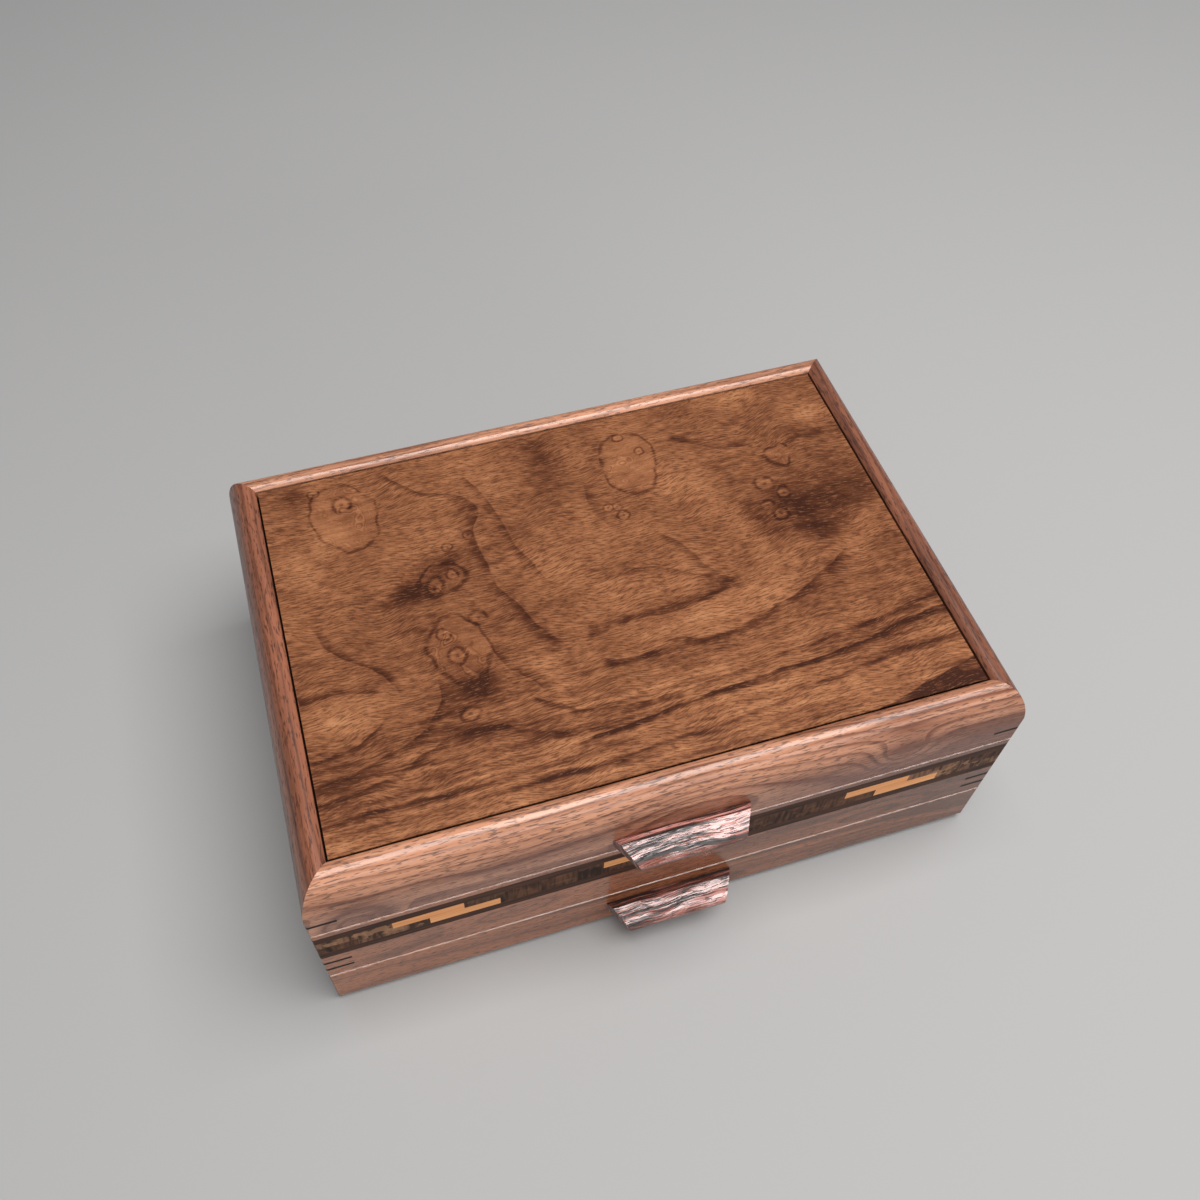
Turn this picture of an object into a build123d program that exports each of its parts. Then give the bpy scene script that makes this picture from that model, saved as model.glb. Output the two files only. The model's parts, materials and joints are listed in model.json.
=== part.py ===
from build123d import *
import math
import os

# Cufflink box with a hinged lid over a divided tray, and a drawer under the tray.
# Millimetres.  X runs along the box, -Y is the front and Z is up.  The origin is the
# middle of the felt's underside, on the surface that the box stands on.

# ---- driving sizes: the box
box_length = 254.0            # outside, left to right
box_depth = 178.0             # outside, front to back
wall = 11.5                   # every wall of the case and rail of the lid
felt_thickness = 1.0          # the walls stand this far off the surface
drawer_opening_height = 26.2  # from the walls' bottoms to the seam over the drawer
tray_wall_height = 40.7       # from the drawer seam to the lid seam
lid_height = 27.6             # from the lid seam to the panel's top face
corner_ease = 0.8             # rounding of the four upright corners
foot_round = 3.0              # rounding of the bottom outer edge
seam_ease = 0.7               # rounding of the outer edge over a seam
seam_bevel = 0.8              # bevel of the outer edge under a seam

# ---- driving sizes: the lid
crest_rise = 1.7              # the rail's crest above the panel
crest_depth = 8.4             # the crest behind the outer face
round_over_height = 19.3      # height of the elliptical round-over
crest_fall = 0.15             # fall of the rail's top from the crest to the inner slope
inner_slope = 1.6             # width in plan of the slope along the rail's inner edge
inner_slope_bulge = 0.09      # rise of the slope's middle, inwards and upwards
inner_slope_lift = 0.2        # the slope's foot above the panel
shadow_gap = 0.8              # open line between the rail and the panel
panel_thickness = 6.5         # board and veneer together
veneer_thickness = 0.8
tongue_thickness = 2.8
tongue_length = 4.0           # how far the panel's tongue enters the rails
panel_float = 0.3             # room for the panel to swell, in the groove
lid_lining_thickness = 2.0

# ---- driving sizes: inlay band
band_lip = 3.4                # walnut left between the lid seam and the band
line_height = 4.35            # each dark line
row_height = 4.9              # each of the two rows between the dark lines
inlay_depth = 2.5
figure_arm = 24.6             # one row's length of a stepped figure
middle_figure_arm = 33.0
figure_overlap = 12.1         # where the two rows of a figure lie over each other
figure_corner_distance = 26.0  # from the box's corner to a figure's end

# ---- driving sizes: corner keys
key_thickness = 1.6
key_leg = 10.0                # along each face, from the corner
key_pitch = 6.2               # between the two keys of a case corner
case_key_lift = 0.5           # the pair above the middle of its plain stretch of wall
lid_key_height = 8.2          # above the lid seam

# ---- driving sizes: pulls
pull_length = 49.0            # at the wall
pull_tip_length = 37.6
pull_reach = 11.5
pull_root = 4.6               # height of the root on the wall
pull_tip = 2.3                # thickness of the tip
pull_ridge_reach = 3.0
pull_ridge_rise = 1.9         # the ridge above the root's top
pull_tip_drop = 1.0           # the tip's top below the root's top
pull_crown = 0.35             # bulge of the face between ridge and tip
pull_hollow = 0.9             # hollow of the underside
pull_edge = 0.6               # rounding of its long edges
pull_corner = 1.2             # rounding of the tip's corners, in plan
pull_tongue_depth = 4.0       # tongue glued in the wall
pull_tongue_thickness = 2.6
pull_tongue_shoulder = 5.0    # plain shoulder beyond each end of the tongue
lid_pull_height = 9.7         # top of the root above the lid seam
drawer_pull_height = 8.4      # top of the root below the drawer seam

# ---- driving sizes: tray
tray_floor_thickness = 3.0
tray_floor_lift = 2.0         # wood left under the floor's groove, over the drawer seam
tray_floor_groove = 4.0
lining_thickness = 1.5        # suede-covered pads on the floors
liner_thickness = 2.0         # suede-covered boards round the tray
liner_drop = 7.9              # top of the liners below the lid seam
divider_thickness = 3.0
divider_drop = 10.0           # top of the dividers below the lid seam
cells_along = 6
cells_across = 4
lining_fit = 0.2              # round a lining or a divider
lap_fit = 0.1                 # width to spare in a halving joint
board_fit = 0.1               # at the edge of a board in its groove

# ---- driving sizes: bottom
bottom_thickness = 5.0
bottom_rabbet = 6.0           # how far the bottom board enters the walls
bottom_front_gap = 0.3        # behind the closed drawer front
felt_margin = 5.0             # bare wood round the felt
bottom_screws_per_side = 3
bottom_screws_at_back = 2
bottom_screw_length = 12.0
bottom_screw_head = 2.4       # radius
bottom_screw_shank = 1.2      # radius

# ---- driving sizes: drawer
mitre_gap = 0.2               # between the drawer front's mitres and the side walls
drawer_seam_gap = 0.25        # over the drawer front
drawer_foot_gap = 0.3         # the drawer front's bottom above the walls' bottoms
drawer_side_gap = 0.5
drawer_top_gap = 0.8          # the drawer's sides below the seam
drawer_bottom_gap = 0.6       # the drawer's sides above the bottom board
drawer_back_gap = 2.0
drawer_wall = 6.0
drawer_tongue = 3.0           # thickness of the tongue that joins a side to the front
drawer_tongue_depth = 4.0
drawer_bottom_thickness = 3.0
drawer_bottom_rabbet = 3.0
drawer_back_drop = 1.5        # the drawer's back below its sides
drawer_divider_height = 12.0
drawer_compartments = 3
drawer_travel = 120.0
runner_height = 5.0
runner_let_in = 2.5           # depth in the wall
runner_reach = 3.0            # out of the wall
runner_end_gap = 4.0          # from the runner's ends to the tray walls' planes
runner_slack = 0.3
stop_radius = 1.25
stop_rise = 2.2               # the stop pins above the drawer's sides
stop_depth = 6.0
stop_gap = 0.25

# ---- driving sizes: hinges
hinge_width = 30.0
hinge_corner_distance = 45.0  # from the box's corner to the hinge's middle
leaf_thickness = 1.6
leaf_depth = 9.0              # from the pin to the leaf's inner edge
knuckle_radius = 2.0
middle_knuckle = 12.0
knuckle_gap = 0.1             # between neighbouring knuckles
knuckle_clearance = 0.15      # round the other leaf's knuckles
barrel_relief = 0.3           # round the barrel, in the wood
pin_radius = 0.8
pin_fit = 0.03
pin_setback = 0.8             # the pin behind the back face
heel_radius = 4.0
opening_angle = 95.0
heel_slack = 1.0              # degrees left between the heels when the lid is open
leaf_screws = 3
leaf_screw_pitch = 10.0
leaf_screw_setback = 5.5      # from the pin
leaf_screw_length = 9.0
leaf_screw_head = 1.9         # radius
leaf_screw_shank = 0.9        # radius
screw_sink = 0.1              # the heads below the leaf's face
screw_fit = 0.03
screw_slot_width = 0.5
screw_slot_depth = 0.4

# ---- heights and planes that follow
wall_foot = felt_thickness
drawer_seam = wall_foot + drawer_opening_height
lid_seam = drawer_seam + tray_wall_height
panel_top = lid_seam + lid_height
crest = panel_top + crest_rise
half_length = box_length / 2
half_depth = box_depth / 2
inner_x = half_length - wall
inner_y = half_depth - wall

band_top = lid_seam - band_lip
core_top = band_top - line_height
row_split = core_top - row_height
core_bottom = row_split - row_height
band_bottom = core_bottom - line_height

tray_floor_bottom = drawer_seam + tray_floor_lift
tray_floor_top = tray_floor_bottom + tray_floor_thickness
tray_lining_top = tray_floor_top + lining_thickness
liner_top = lid_seam - liner_drop
divider_top = lid_seam - divider_drop
cell_x = inner_x - liner_thickness
cell_y = inner_y - liner_thickness

bottom_top = wall_foot + bottom_thickness
drawer_side_x = inner_x - drawer_side_gap
drawer_inner_x = drawer_side_x - drawer_wall
drawer_low = bottom_top + drawer_bottom_gap
drawer_high = drawer_seam - drawer_top_gap
drawer_end_y = inner_y - drawer_back_gap
drawer_inner_y = drawer_end_y - drawer_wall
drawer_floor_top = drawer_low + drawer_bottom_thickness
drawer_lining_top = drawer_floor_top + lining_thickness
runner_bottom = (drawer_low + drawer_high - runner_height) / 2
runner_top = runner_bottom + runner_height
runner_front = -inner_y + runner_end_gap

pin_y = half_depth + pin_setback
hinge_centres = (-half_length + hinge_corner_distance, half_length - hinge_corner_distance)

# A side of the box: its length, the distance of its face from the middle, and the turn
# about Z that takes the front to it.
front = (box_length, half_depth, 0)
right = (box_depth, half_length, 90)
back = (box_length, half_depth, 180)
left = (box_depth, half_length, 270)
sides = (front, right, back, left)

# The whole box's outline in plan, with its eased corners.
outline = extrude(RectangleRounded(box_length, box_depth, corner_ease), amount=crest)


# ---- helpers
def slab(x, y, z):
    """A block from its low and high limits along each axis."""
    block = Box(x[1] - x[0], y[1] - y[0], z[1] - z[0])
    return Pos((x[0] + x[1]) / 2, (y[0] + y[1]) / 2, (z[0] + z[1]) / 2) * block


def both_ways(reach):
    """Limits at equal distances on both sides of the middle."""
    return (-reach, reach)


def group(shapes):
    """Separate solids kept together as one node."""
    return Compound(children=[solid for shape in shapes for solid in shape.solids()])


def mitred(profile, side, gap=0.0):
    """A board of one profile along one side of the box, mitred at both ends.

    The profile has the depth behind the outer face as x and the height as y.
    """
    span, offset, turn = side
    board = extrude(Plane.YZ * (Pos(-offset, 0) * profile), amount=span / 2, both=True)
    end = span / 2 - gap
    ends = Polygon(
        (-end, -offset),
        (end, -offset),
        (end - wall, -offset + wall),
        (-end + wall, -offset + wall),
    )
    trimmed = board & extrude(ends, amount=crest)
    return (Rot(0, 0, turn) * trimmed) & outline


def wall_profile(low, high, low_round):
    """A wall's section from low to high: outer edge rounded below and bevelled above."""
    return make_face([
        Line((0, low + low_round), (0, high - seam_bevel)),
        Line((0, high - seam_bevel), (seam_bevel, high)),
        Line((seam_bevel, high), (wall, high)),
        Line((wall, high), (wall, low)),
        Line((wall, low), (low_round, low)),
        CenterArc((low_round, low + low_round), low_round, 270, -90),
    ])


def strip_profile(low, high):
    """The section of an inlaid strip, flush with the wall's face."""
    return Pos(inlay_depth / 2, (low + high) / 2) * Rectangle(inlay_depth, high - low)


def wood_screw(length, head, shank, grow=0.0):
    """A countersunk screw that points down from its head's face at the origin.

    With grow it is the screw's hole, that much larger all round and without the slot.
    """
    head_height = head - shank
    shank_length = length - head_height - 2 * shank
    cone = Pos(0, 0, -head_height / 2) * Cone(shank + grow, head + grow, head_height)
    stem_middle = -head_height - shank_length / 2
    stem = Pos(0, 0, stem_middle) * Cylinder(shank + grow, shank_length)
    point_middle = -head_height - shank_length - shank
    point = Pos(0, 0, point_middle) * Cone(grow, shank + grow, 2 * shank)
    screw = cone + stem + point
    if grow > 0:
        return screw + Pos(0, 0, screw_sink / 2) * Cylinder(head + grow, screw_sink)
    slot = Pos(0, 0, -screw_slot_depth / 2) * Box(2 * head, screw_slot_width, screw_slot_depth)
    return screw - slot


# ---- corner keys
def corner_key(x_sign, y_sign, height):
    """A three-cornered key across one mitre, before it is trimmed to the wood."""
    x = x_sign * half_length
    y = y_sign * half_depth
    face = Polygon((x, y), (x - x_sign * key_leg, y), (x, y - y_sign * key_leg))
    return Pos(0, 0, height) * extrude(face, amount=key_thickness / 2, both=True)


def corner_keys(height, boards):
    """Four keys at one height, each with the outer shape of the boards that it joins."""
    keys = []
    for x_sign in (-1, 1):
        for y_sign in (-1, 1):
            blank = corner_key(x_sign, y_sign, height)
            cuts = [blank & board for board in boards]
            pieces = [cut for cut in cuts if cut is not None and cut.solids()]
            keys.append(sum(pieces[1:], pieces[0]))
    return keys


# ---- pulls
def pull(root_top):
    """A wing that rises from the wall to a ridge and falls to a thin tip, with its tongue."""
    root = (0, root_top)
    ridge = (-pull_ridge_reach, root_top + pull_ridge_rise)
    tip_top = (-pull_reach, root_top - pull_tip_drop)
    tip_bottom = (-pull_reach, tip_top[1] - pull_tip)
    root_bottom = (0, root_top - pull_root)
    face_middle = ((ridge[0] + tip_top[0]) / 2, (ridge[1] + tip_top[1]) / 2 + pull_crown)
    under_middle = (-pull_reach / 2, (tip_bottom[1] + root_bottom[1]) / 2 + pull_hollow)
    profile = make_face([
        Line(root, ridge),
        ThreePointArc(ridge, face_middle, tip_top),
        Line(tip_top, tip_bottom),
        ThreePointArc(tip_bottom, under_middle, root_bottom),
        Line(root_bottom, root),
    ])
    ridge_corner = profile.vertices().sort_by(Axis.Y)[-1]
    tip_corners = profile.vertices().sort_by(Axis.X)[:2]
    profile = fillet([ridge_corner] + tip_corners, radius=pull_edge)
    bar = extrude(Plane.YZ * profile, amount=pull_length / 2, both=True)
    plan = Polygon(
        (-pull_length / 2, 0),
        (-pull_tip_length / 2, -pull_reach),
        (pull_tip_length / 2, -pull_reach),
        (pull_length / 2, 0),
    )
    plan = fillet(plan.vertices().sort_by(Axis.Y)[:2], radius=pull_corner)
    wing = bar & extrude(plan, amount=crest)
    tongue_middle = root_top - pull_root / 2
    tongue = slab(
        both_ways(pull_length / 2 - pull_tongue_shoulder),
        (0, pull_tongue_depth),
        (tongue_middle - pull_tongue_thickness / 2, tongue_middle + pull_tongue_thickness / 2),
    )
    return Pos(0, -half_depth, 0) * (wing + tongue)


# ---- hinges: a bar, a wedge and a leaf about the pin
def pin_bar(radius, low, high):
    """A round bar along the hinge pin's line."""
    return Pos((low + high) / 2, pin_y, lid_seam) * Rot(0, 90, 0) * Cylinder(radius, high - low)


def heel_wedge(start, end, low, high):
    """Everything between two angles about the pin, counted from +Y towards +Z."""
    reach = 2 * heel_radius
    face = make_face(Polyline(
        (0, 0),
        (reach * math.cos(math.radians(start)), reach * math.sin(math.radians(start))),
        (reach * math.cos(math.radians(end)), reach * math.sin(math.radians(end))),
        close=True,
    ))
    bar = extrude(Plane.YZ * face, amount=(high - low) / 2, both=True)
    return Pos((low + high) / 2, pin_y, lid_seam) * bar


def knuckle_spans(centre):
    """Where the lid's knuckle lies along the pin, and where the case's two lie."""
    end = hinge_width / 2
    middle = middle_knuckle / 2
    lid_spans = [(centre - middle + knuckle_gap, centre + middle - knuckle_gap)]
    case_spans = [(centre - end, centre - middle), (centre + middle, centre + end)]
    return lid_spans, case_spans


def leaf_screw_places(centre):
    """Where the screws of one leaf stand in plan."""
    first = -(leaf_screws - 1) / 2
    y = pin_y - leaf_screw_setback
    return [(centre + (first + i) * leaf_screw_pitch, y) for i in range(leaf_screws)]


def leaf_screw(place, up, grow=0.0):
    """One hinge screw, or its hole, driven up into the lid or down into the case."""
    screw = wood_screw(leaf_screw_length, leaf_screw_head, leaf_screw_shank, grow)
    if up:
        return Pos(place[0], place[1], lid_seam + screw_sink) * Rot(180, 0, 0) * screw
    return Pos(place[0], place[1], lid_seam - screw_sink) * screw


def hinge_leaf(centre, up):
    """A leaf with its knuckles and the bevelled heel that stops the lid."""
    lid_spans, case_spans = knuckle_spans(centre)
    own = lid_spans if up else case_spans
    other = case_spans if up else [(centre - middle_knuckle / 2, centre + middle_knuckle / 2)]
    ends = (centre - hinge_width / 2, centre + hinge_width / 2)
    plate_z = (lid_seam, lid_seam + leaf_thickness) if up else (lid_seam - leaf_thickness, lid_seam)
    leaf = slab(ends, (pin_y - leaf_depth, pin_y), plate_z)
    gap = knuckle_gap if up else 0
    for low, high in other:
        leaf -= pin_bar(knuckle_radius + knuckle_clearance, low - gap, high + gap)
    # The heels meet when the lid has turned through the opening angle and the slack.
    bevel = (opening_angle + heel_slack) / 2
    angles = (bevel, 90) if up else (-90, -bevel)
    ring = pin_bar(heel_radius, *ends) - pin_bar(knuckle_radius + knuckle_clearance, *ends)
    leaf += ring & heel_wedge(*angles, *ends)
    for low, high in own:
        leaf += pin_bar(knuckle_radius, low, high)
        leaf += pin_bar(heel_radius, low, high) & heel_wedge(*angles, low, high)
    leaf -= pin_bar(pin_radius + pin_fit, *ends)
    for place in leaf_screw_places(centre):
        leaf -= leaf_screw(place, up, screw_fit)
    return leaf


def hinge_pocket(centre):
    """What both back edges lose to one hinge: leaves, barrel and screws."""
    ends = (centre - hinge_width / 2, centre + hinge_width / 2)
    leaves_y = (pin_y - leaf_depth, pin_y)
    pocket = slab(ends, leaves_y, (lid_seam - leaf_thickness, lid_seam + leaf_thickness))
    barrel_radius = knuckle_radius + barrel_relief
    pocket += pin_bar(barrel_radius, ends[0] - barrel_relief, ends[1] + barrel_relief)
    for place in leaf_screw_places(centre):
        pocket += leaf_screw(place, True, screw_fit)
        pocket += leaf_screw(place, False, screw_fit)
    return pocket


def hinge_pin(centre):
    """The pin through all three knuckles."""
    return pin_bar(pin_radius, centre - hinge_width / 2, centre + hinge_width / 2)


# ---- lid
def lid_rail_profile():
    """A rail's section: upright face, tall round-over, crest, and sloped inner edge."""
    shoulder = crest - round_over_height
    slope_top = (wall - inner_slope, crest - crest_fall)
    slope_foot = (wall, panel_top + inner_slope_lift)
    slope_middle = (
        (slope_top[0] + slope_foot[0]) / 2 + inner_slope_bulge,
        (slope_top[1] + slope_foot[1]) / 2 + inner_slope_bulge,
    )
    return make_face([
        Line((0, lid_seam + seam_ease), (0, shoulder)),
        EllipticalCenterArc(
            (crest_depth, shoulder), crest_depth, round_over_height, start_angle=180, arc_size=-90
        ),
        Line((crest_depth, crest), slope_top),
        ThreePointArc(slope_top, slope_middle, slope_foot),
        Line(slope_foot, (wall, lid_seam)),
        Line((wall, lid_seam), (seam_ease, lid_seam)),
        CenterArc((seam_ease, lid_seam + seam_ease), seam_ease, 270, -90),
    ])


def lid_panel():
    """The panel's board with its tongue, its veneer, and the groove that takes the tongue."""
    low = panel_top - panel_thickness
    field_x = inner_x - shadow_gap
    field_y = inner_y - shadow_gap
    tongue_z = (low, low + tongue_thickness)
    board = slab(both_ways(field_x), both_ways(field_y), (low, panel_top - veneer_thickness))
    board += slab(both_ways(inner_x + tongue_length), both_ways(inner_y + tongue_length), tongue_z)
    veneer_z = (panel_top - veneer_thickness, panel_top)
    veneer = slab(both_ways(field_x), both_ways(field_y), veneer_z)
    groove_x = both_ways(inner_x + tongue_length + panel_float)
    groove_y = both_ways(inner_y + tongue_length + panel_float)
    return board, veneer, slab(groove_x, groove_y, tongue_z)


def lid_lining():
    """The suede-covered board under the panel."""
    top = panel_top - panel_thickness
    x = both_ways(inner_x - lining_fit)
    y = both_ways(inner_y - lining_fit)
    return slab(x, y, (top - lid_lining_thickness, top))


# ---- inlay band
def stepped_rows(centre, arm):
    """Limits along the band of a stepped piece's upper row, to the left, and of its lower row."""
    half_overlap = figure_overlap / 2
    upper = (centre + half_overlap - arm, centre + half_overlap)
    lower = (centre - half_overlap, centre - half_overlap + arm)
    return upper, lower


def stepped_piece(side, upper, lower):
    """A flat piece in the band of one side, with one block in each of the two rows."""
    span, offset, turn = side
    depth = (-offset, -offset + inlay_depth)
    blocks = slab(upper, depth, (row_split, core_top))
    blocks += slab(lower, depth, (core_bottom, row_split))
    return Rot(0, 0, turn) * blocks


def outer_figure_centre(side):
    """How far the middle of a corner's figure is from the middle of its side."""
    return side[0] / 2 - figure_corner_distance - figure_arm + figure_overlap / 2


def side_figures(side):
    """A pale figure near each corner, and a longer one in the middle of a long side."""
    centre = outer_figure_centre(side)
    figures = [stepped_piece(side, *stepped_rows(sign * centre, figure_arm)) for sign in (-1, 1)]
    if side in (front, back):
        figures.append(stepped_piece(side, *stepped_rows(0, middle_figure_arm)))
    return figures


def side_tiles(side):
    """The brown tile that fills up from each corner to the figure next to it."""
    centre = outer_figure_centre(side) + figure_arm
    left_upper, left_lower = stepped_rows(-centre, figure_arm)
    right_upper, right_lower = stepped_rows(centre, figure_arm)
    corner = side[0] / 2
    left_tile = stepped_piece(side, (-corner, left_upper[1]), left_lower)
    right_tile = stepped_piece(side, right_upper, (right_lower[0], corner))
    return [left_tile, right_tile]


def inlay_band():
    """The dark lines, the core, the brown tiles and the pale figures of all four sides."""
    lines = []
    core = []
    tiles = []
    figures = []
    for side in sides:
        lines.append(mitred(strip_profile(core_top, band_top), side))
        lines.append(mitred(strip_profile(band_bottom, core_bottom), side))
        side_core = mitred(strip_profile(core_bottom, core_top), side)
        for figure in side_figures(side):
            side_core -= figure
            figures.append(figure)
        for tile in side_tiles(side):
            tiles.append(side_core & tile)
            side_core -= tile
        core.append(side_core)
    return lines, core, tiles, figures


# ---- case
def case_wall_profile(low, low_round):
    """A case wall's section, with the groove of the inlay band."""
    groove_x = inlay_depth
    groove = Pos(0, (band_bottom + band_top) / 2) * Rectangle(2 * groove_x, band_top - band_bottom)
    return wall_profile(low, lid_seam, low_round) - groove


def tray_floor():
    """The floor between tray and drawer, in grooves of all four walls."""
    x = both_ways(inner_x + tray_floor_groove - board_fit)
    y = both_ways(inner_y + tray_floor_groove - board_fit)
    return slab(x, y, (tray_floor_bottom, tray_floor_top))


def tray_floor_groove_block():
    """The space that the four walls give to the tray floor."""
    x = both_ways(inner_x + tray_floor_groove)
    y = both_ways(inner_y + tray_floor_groove)
    return slab(x, y, (tray_floor_bottom, tray_floor_top))


def case_bottom_block(fit):
    """The bottom board, or with no fit the rabbet that takes it."""
    x = both_ways(inner_x + bottom_rabbet - fit)
    y = (-inner_y + bottom_front_gap, inner_y + bottom_rabbet - fit)
    return slab(x, y, (wall_foot, bottom_top))


def bottom_screw_places():
    """Where the bottom board is screwed to the side walls and the back."""
    edge_x = inner_x + bottom_rabbet / 2
    edge_y = inner_y + bottom_rabbet / 2
    step = 2 * inner_y / (bottom_screws_per_side + 1)
    places = []
    for i in range(bottom_screws_per_side):
        for sign in (-1, 1):
            places.append((sign * edge_x, -inner_y + (i + 1) * step))
    back_step = 2 * inner_x / (bottom_screws_at_back + 1)
    for i in range(bottom_screws_at_back):
        places.append((-inner_x + (i + 1) * back_step, edge_y))
    return places


def bottom_screw(place, grow=0.0):
    """One screw, or its hole, driven up through the bottom board."""
    screw = wood_screw(bottom_screw_length, bottom_screw_head, bottom_screw_shank, grow)
    return Pos(place[0], place[1], wall_foot + screw_sink) * Rot(180, 0, 0) * screw


def base_felt():
    """The felt that the box stands on."""
    x = both_ways(half_length - felt_margin)
    y = (-inner_y + felt_margin, half_depth - felt_margin)
    return slab(x, y, (0, felt_thickness))


def runner(sign):
    """A hardwood strip let into a side wall, which carries the drawer."""
    outer = sign * (inner_x + runner_let_in)
    inner = sign * (inner_x - runner_reach)
    x = (min(outer, inner), max(outer, inner))
    return slab(x, both_ways(-runner_front), (runner_bottom, runner_top))


# ---- tray
def tray_liners():
    """Four suede-covered boards: the long ones reach the side walls, the short ones fit between."""
    z = (tray_floor_top, liner_top)
    long_x = both_ways(inner_x - lining_fit)
    short_y = both_ways(cell_y - lining_fit)
    boards = []
    for sign in (-1, 1):
        y = sorted((sign * cell_y, sign * inner_y))
        boards.append(slab(long_x, y, z))
        x = sorted((sign * cell_x, sign * inner_x))
        boards.append(slab(x, short_y, z))
    return boards


def tray_floor_lining():
    """The suede-covered pad on the tray's floor."""
    x = both_ways(cell_x - lining_fit)
    y = both_ways(cell_y - lining_fit)
    return slab(x, y, (tray_floor_top, tray_lining_top))


def divider_places(reach, cells):
    """The middles of the dividers that part a space into equal cells."""
    pitch = (2 * reach + divider_thickness) / cells
    return [-reach - divider_thickness / 2 + pitch * (i + 1) for i in range(cells - 1)]


def tray_dividers():
    """The long and the cross strips, halved over each other."""
    long_places = divider_places(cell_y, cells_across)
    cross_places = divider_places(cell_x, cells_along)
    middle = (tray_lining_top + divider_top) / 2
    half = divider_thickness / 2
    slot = half + lap_fit / 2
    long_strips = []
    for y in long_places:
        x_limits = both_ways(cell_x - lining_fit)
        strip = slab(x_limits, (y - half, y + half), (tray_lining_top, divider_top))
        for x in cross_places:
            strip -= slab((x - slot, x + slot), (y - wall, y + wall), (middle, lid_seam))
        long_strips.append(strip)
    cross_strips = []
    for x in cross_places:
        y_limits = both_ways(cell_y - lining_fit)
        strip = slab((x - half, x + half), y_limits, (tray_lining_top, divider_top))
        for y in long_places:
            strip -= slab((x - wall, x + wall), (y - slot, y + slot), (0, middle))
        cross_strips.append(strip)
    return long_strips, cross_strips


# ---- drawer
def drawer_front_blank():
    """The drawer's front, mitred to close on the side walls."""
    low = wall_foot + drawer_foot_gap
    high = drawer_seam - drawer_seam_gap
    return mitred(wall_profile(low, high, foot_round), front, mitre_gap)


def drawer_bottom():
    """The drawer's bottom board, in rabbets of the sides and back and a groove of the front."""
    x = both_ways(drawer_inner_x + drawer_bottom_rabbet)
    y = (-inner_y - drawer_bottom_rabbet, drawer_inner_y + drawer_bottom_rabbet)
    return slab(x, y, (drawer_low, drawer_floor_top))


def drawer_side(sign):
    """A drawer side with its tongue and the groove that rides on the runner."""
    outer = sign * drawer_side_x
    inner = sign * drawer_inner_x
    side_z = (drawer_low, drawer_high)
    side = slab(sorted((inner, outer)), (-inner_y, drawer_end_y), side_z)
    tongue_x = sorted((inner, inner + sign * drawer_tongue))
    side += slab(tongue_x, (-inner_y - drawer_tongue_depth, -inner_y), side_z)
    groove_floor = sign * (inner_x - runner_reach - runner_slack)
    groove_x = sorted((groove_floor, sign * half_length))
    groove_y = (runner_front - runner_slack, half_depth)
    return side - slab(groove_x, groove_y, (runner_bottom - runner_slack, runner_top))


def drawer_back():
    """The drawer's back, between the sides."""
    z = (drawer_low, drawer_high - drawer_back_drop)
    return slab(both_ways(drawer_inner_x), (drawer_inner_y, drawer_end_y), z)


def drawer_lining():
    """The suede-covered pad on the drawer's bottom."""
    x = both_ways(drawer_inner_x - lining_fit)
    y = (-inner_y + lining_fit, drawer_inner_y - lining_fit)
    return slab(x, y, (drawer_floor_top, drawer_lining_top))


def drawer_dividers():
    """Strips from front to back that part the drawer."""
    half = divider_thickness / 2
    y = (-inner_y + lining_fit, drawer_inner_y - lining_fit)
    z = (drawer_lining_top, drawer_lining_top + drawer_divider_height)
    places = divider_places(drawer_inner_x, drawer_compartments)
    return [slab((x - half, x + half), y, z) for x in places]


def drawer_stop(sign, radius):
    """A pin in a drawer side that catches the tray's front wall when the drawer is out."""
    x = sign * (drawer_side_x + drawer_inner_x) / 2
    y = -inner_y + drawer_travel + stop_gap + stop_radius
    height = stop_depth + stop_rise
    middle = drawer_high + (stop_rise - stop_depth) / 2
    return Pos(x, y, middle) * Cylinder(radius, height)


# ---- the pieces put together
def make_lid():
    """The lid's nodes."""
    core, veneer, groove = lid_panel()
    blanks = [mitred(lid_rail_profile(), side) for side in sides]
    keys = corner_keys(lid_seam + lid_key_height, blanks)
    wing = pull(lid_seam + lid_pull_height)
    rails = []
    for blank in blanks:
        rail = blank - groove
        for key in keys:
            rail -= key
        rails.append(rail)
    rails[0] -= wing
    for centre in hinge_centres:
        rails[2] -= hinge_pocket(centre)
    leaves = [hinge_leaf(centre, True) for centre in hinge_centres]
    places = [place for centre in hinge_centres for place in leaf_screw_places(centre)]
    return {
        "lid_rail_front": rails[0],
        "lid_rail_right": rails[1],
        "lid_rail_back": rails[2],
        "lid_rail_left": rails[3],
        "lid_splines": group(keys),
        "lid_panel_core": core,
        "lid_panel_veneer": veneer,
        "lid_lining": lid_lining(),
        "lid_pull": wing,
        "hinge_leaves_lid": group(leaves),
        "hinge_screws_lid": group([leaf_screw(place, True) for place in places]),
    }


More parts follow.
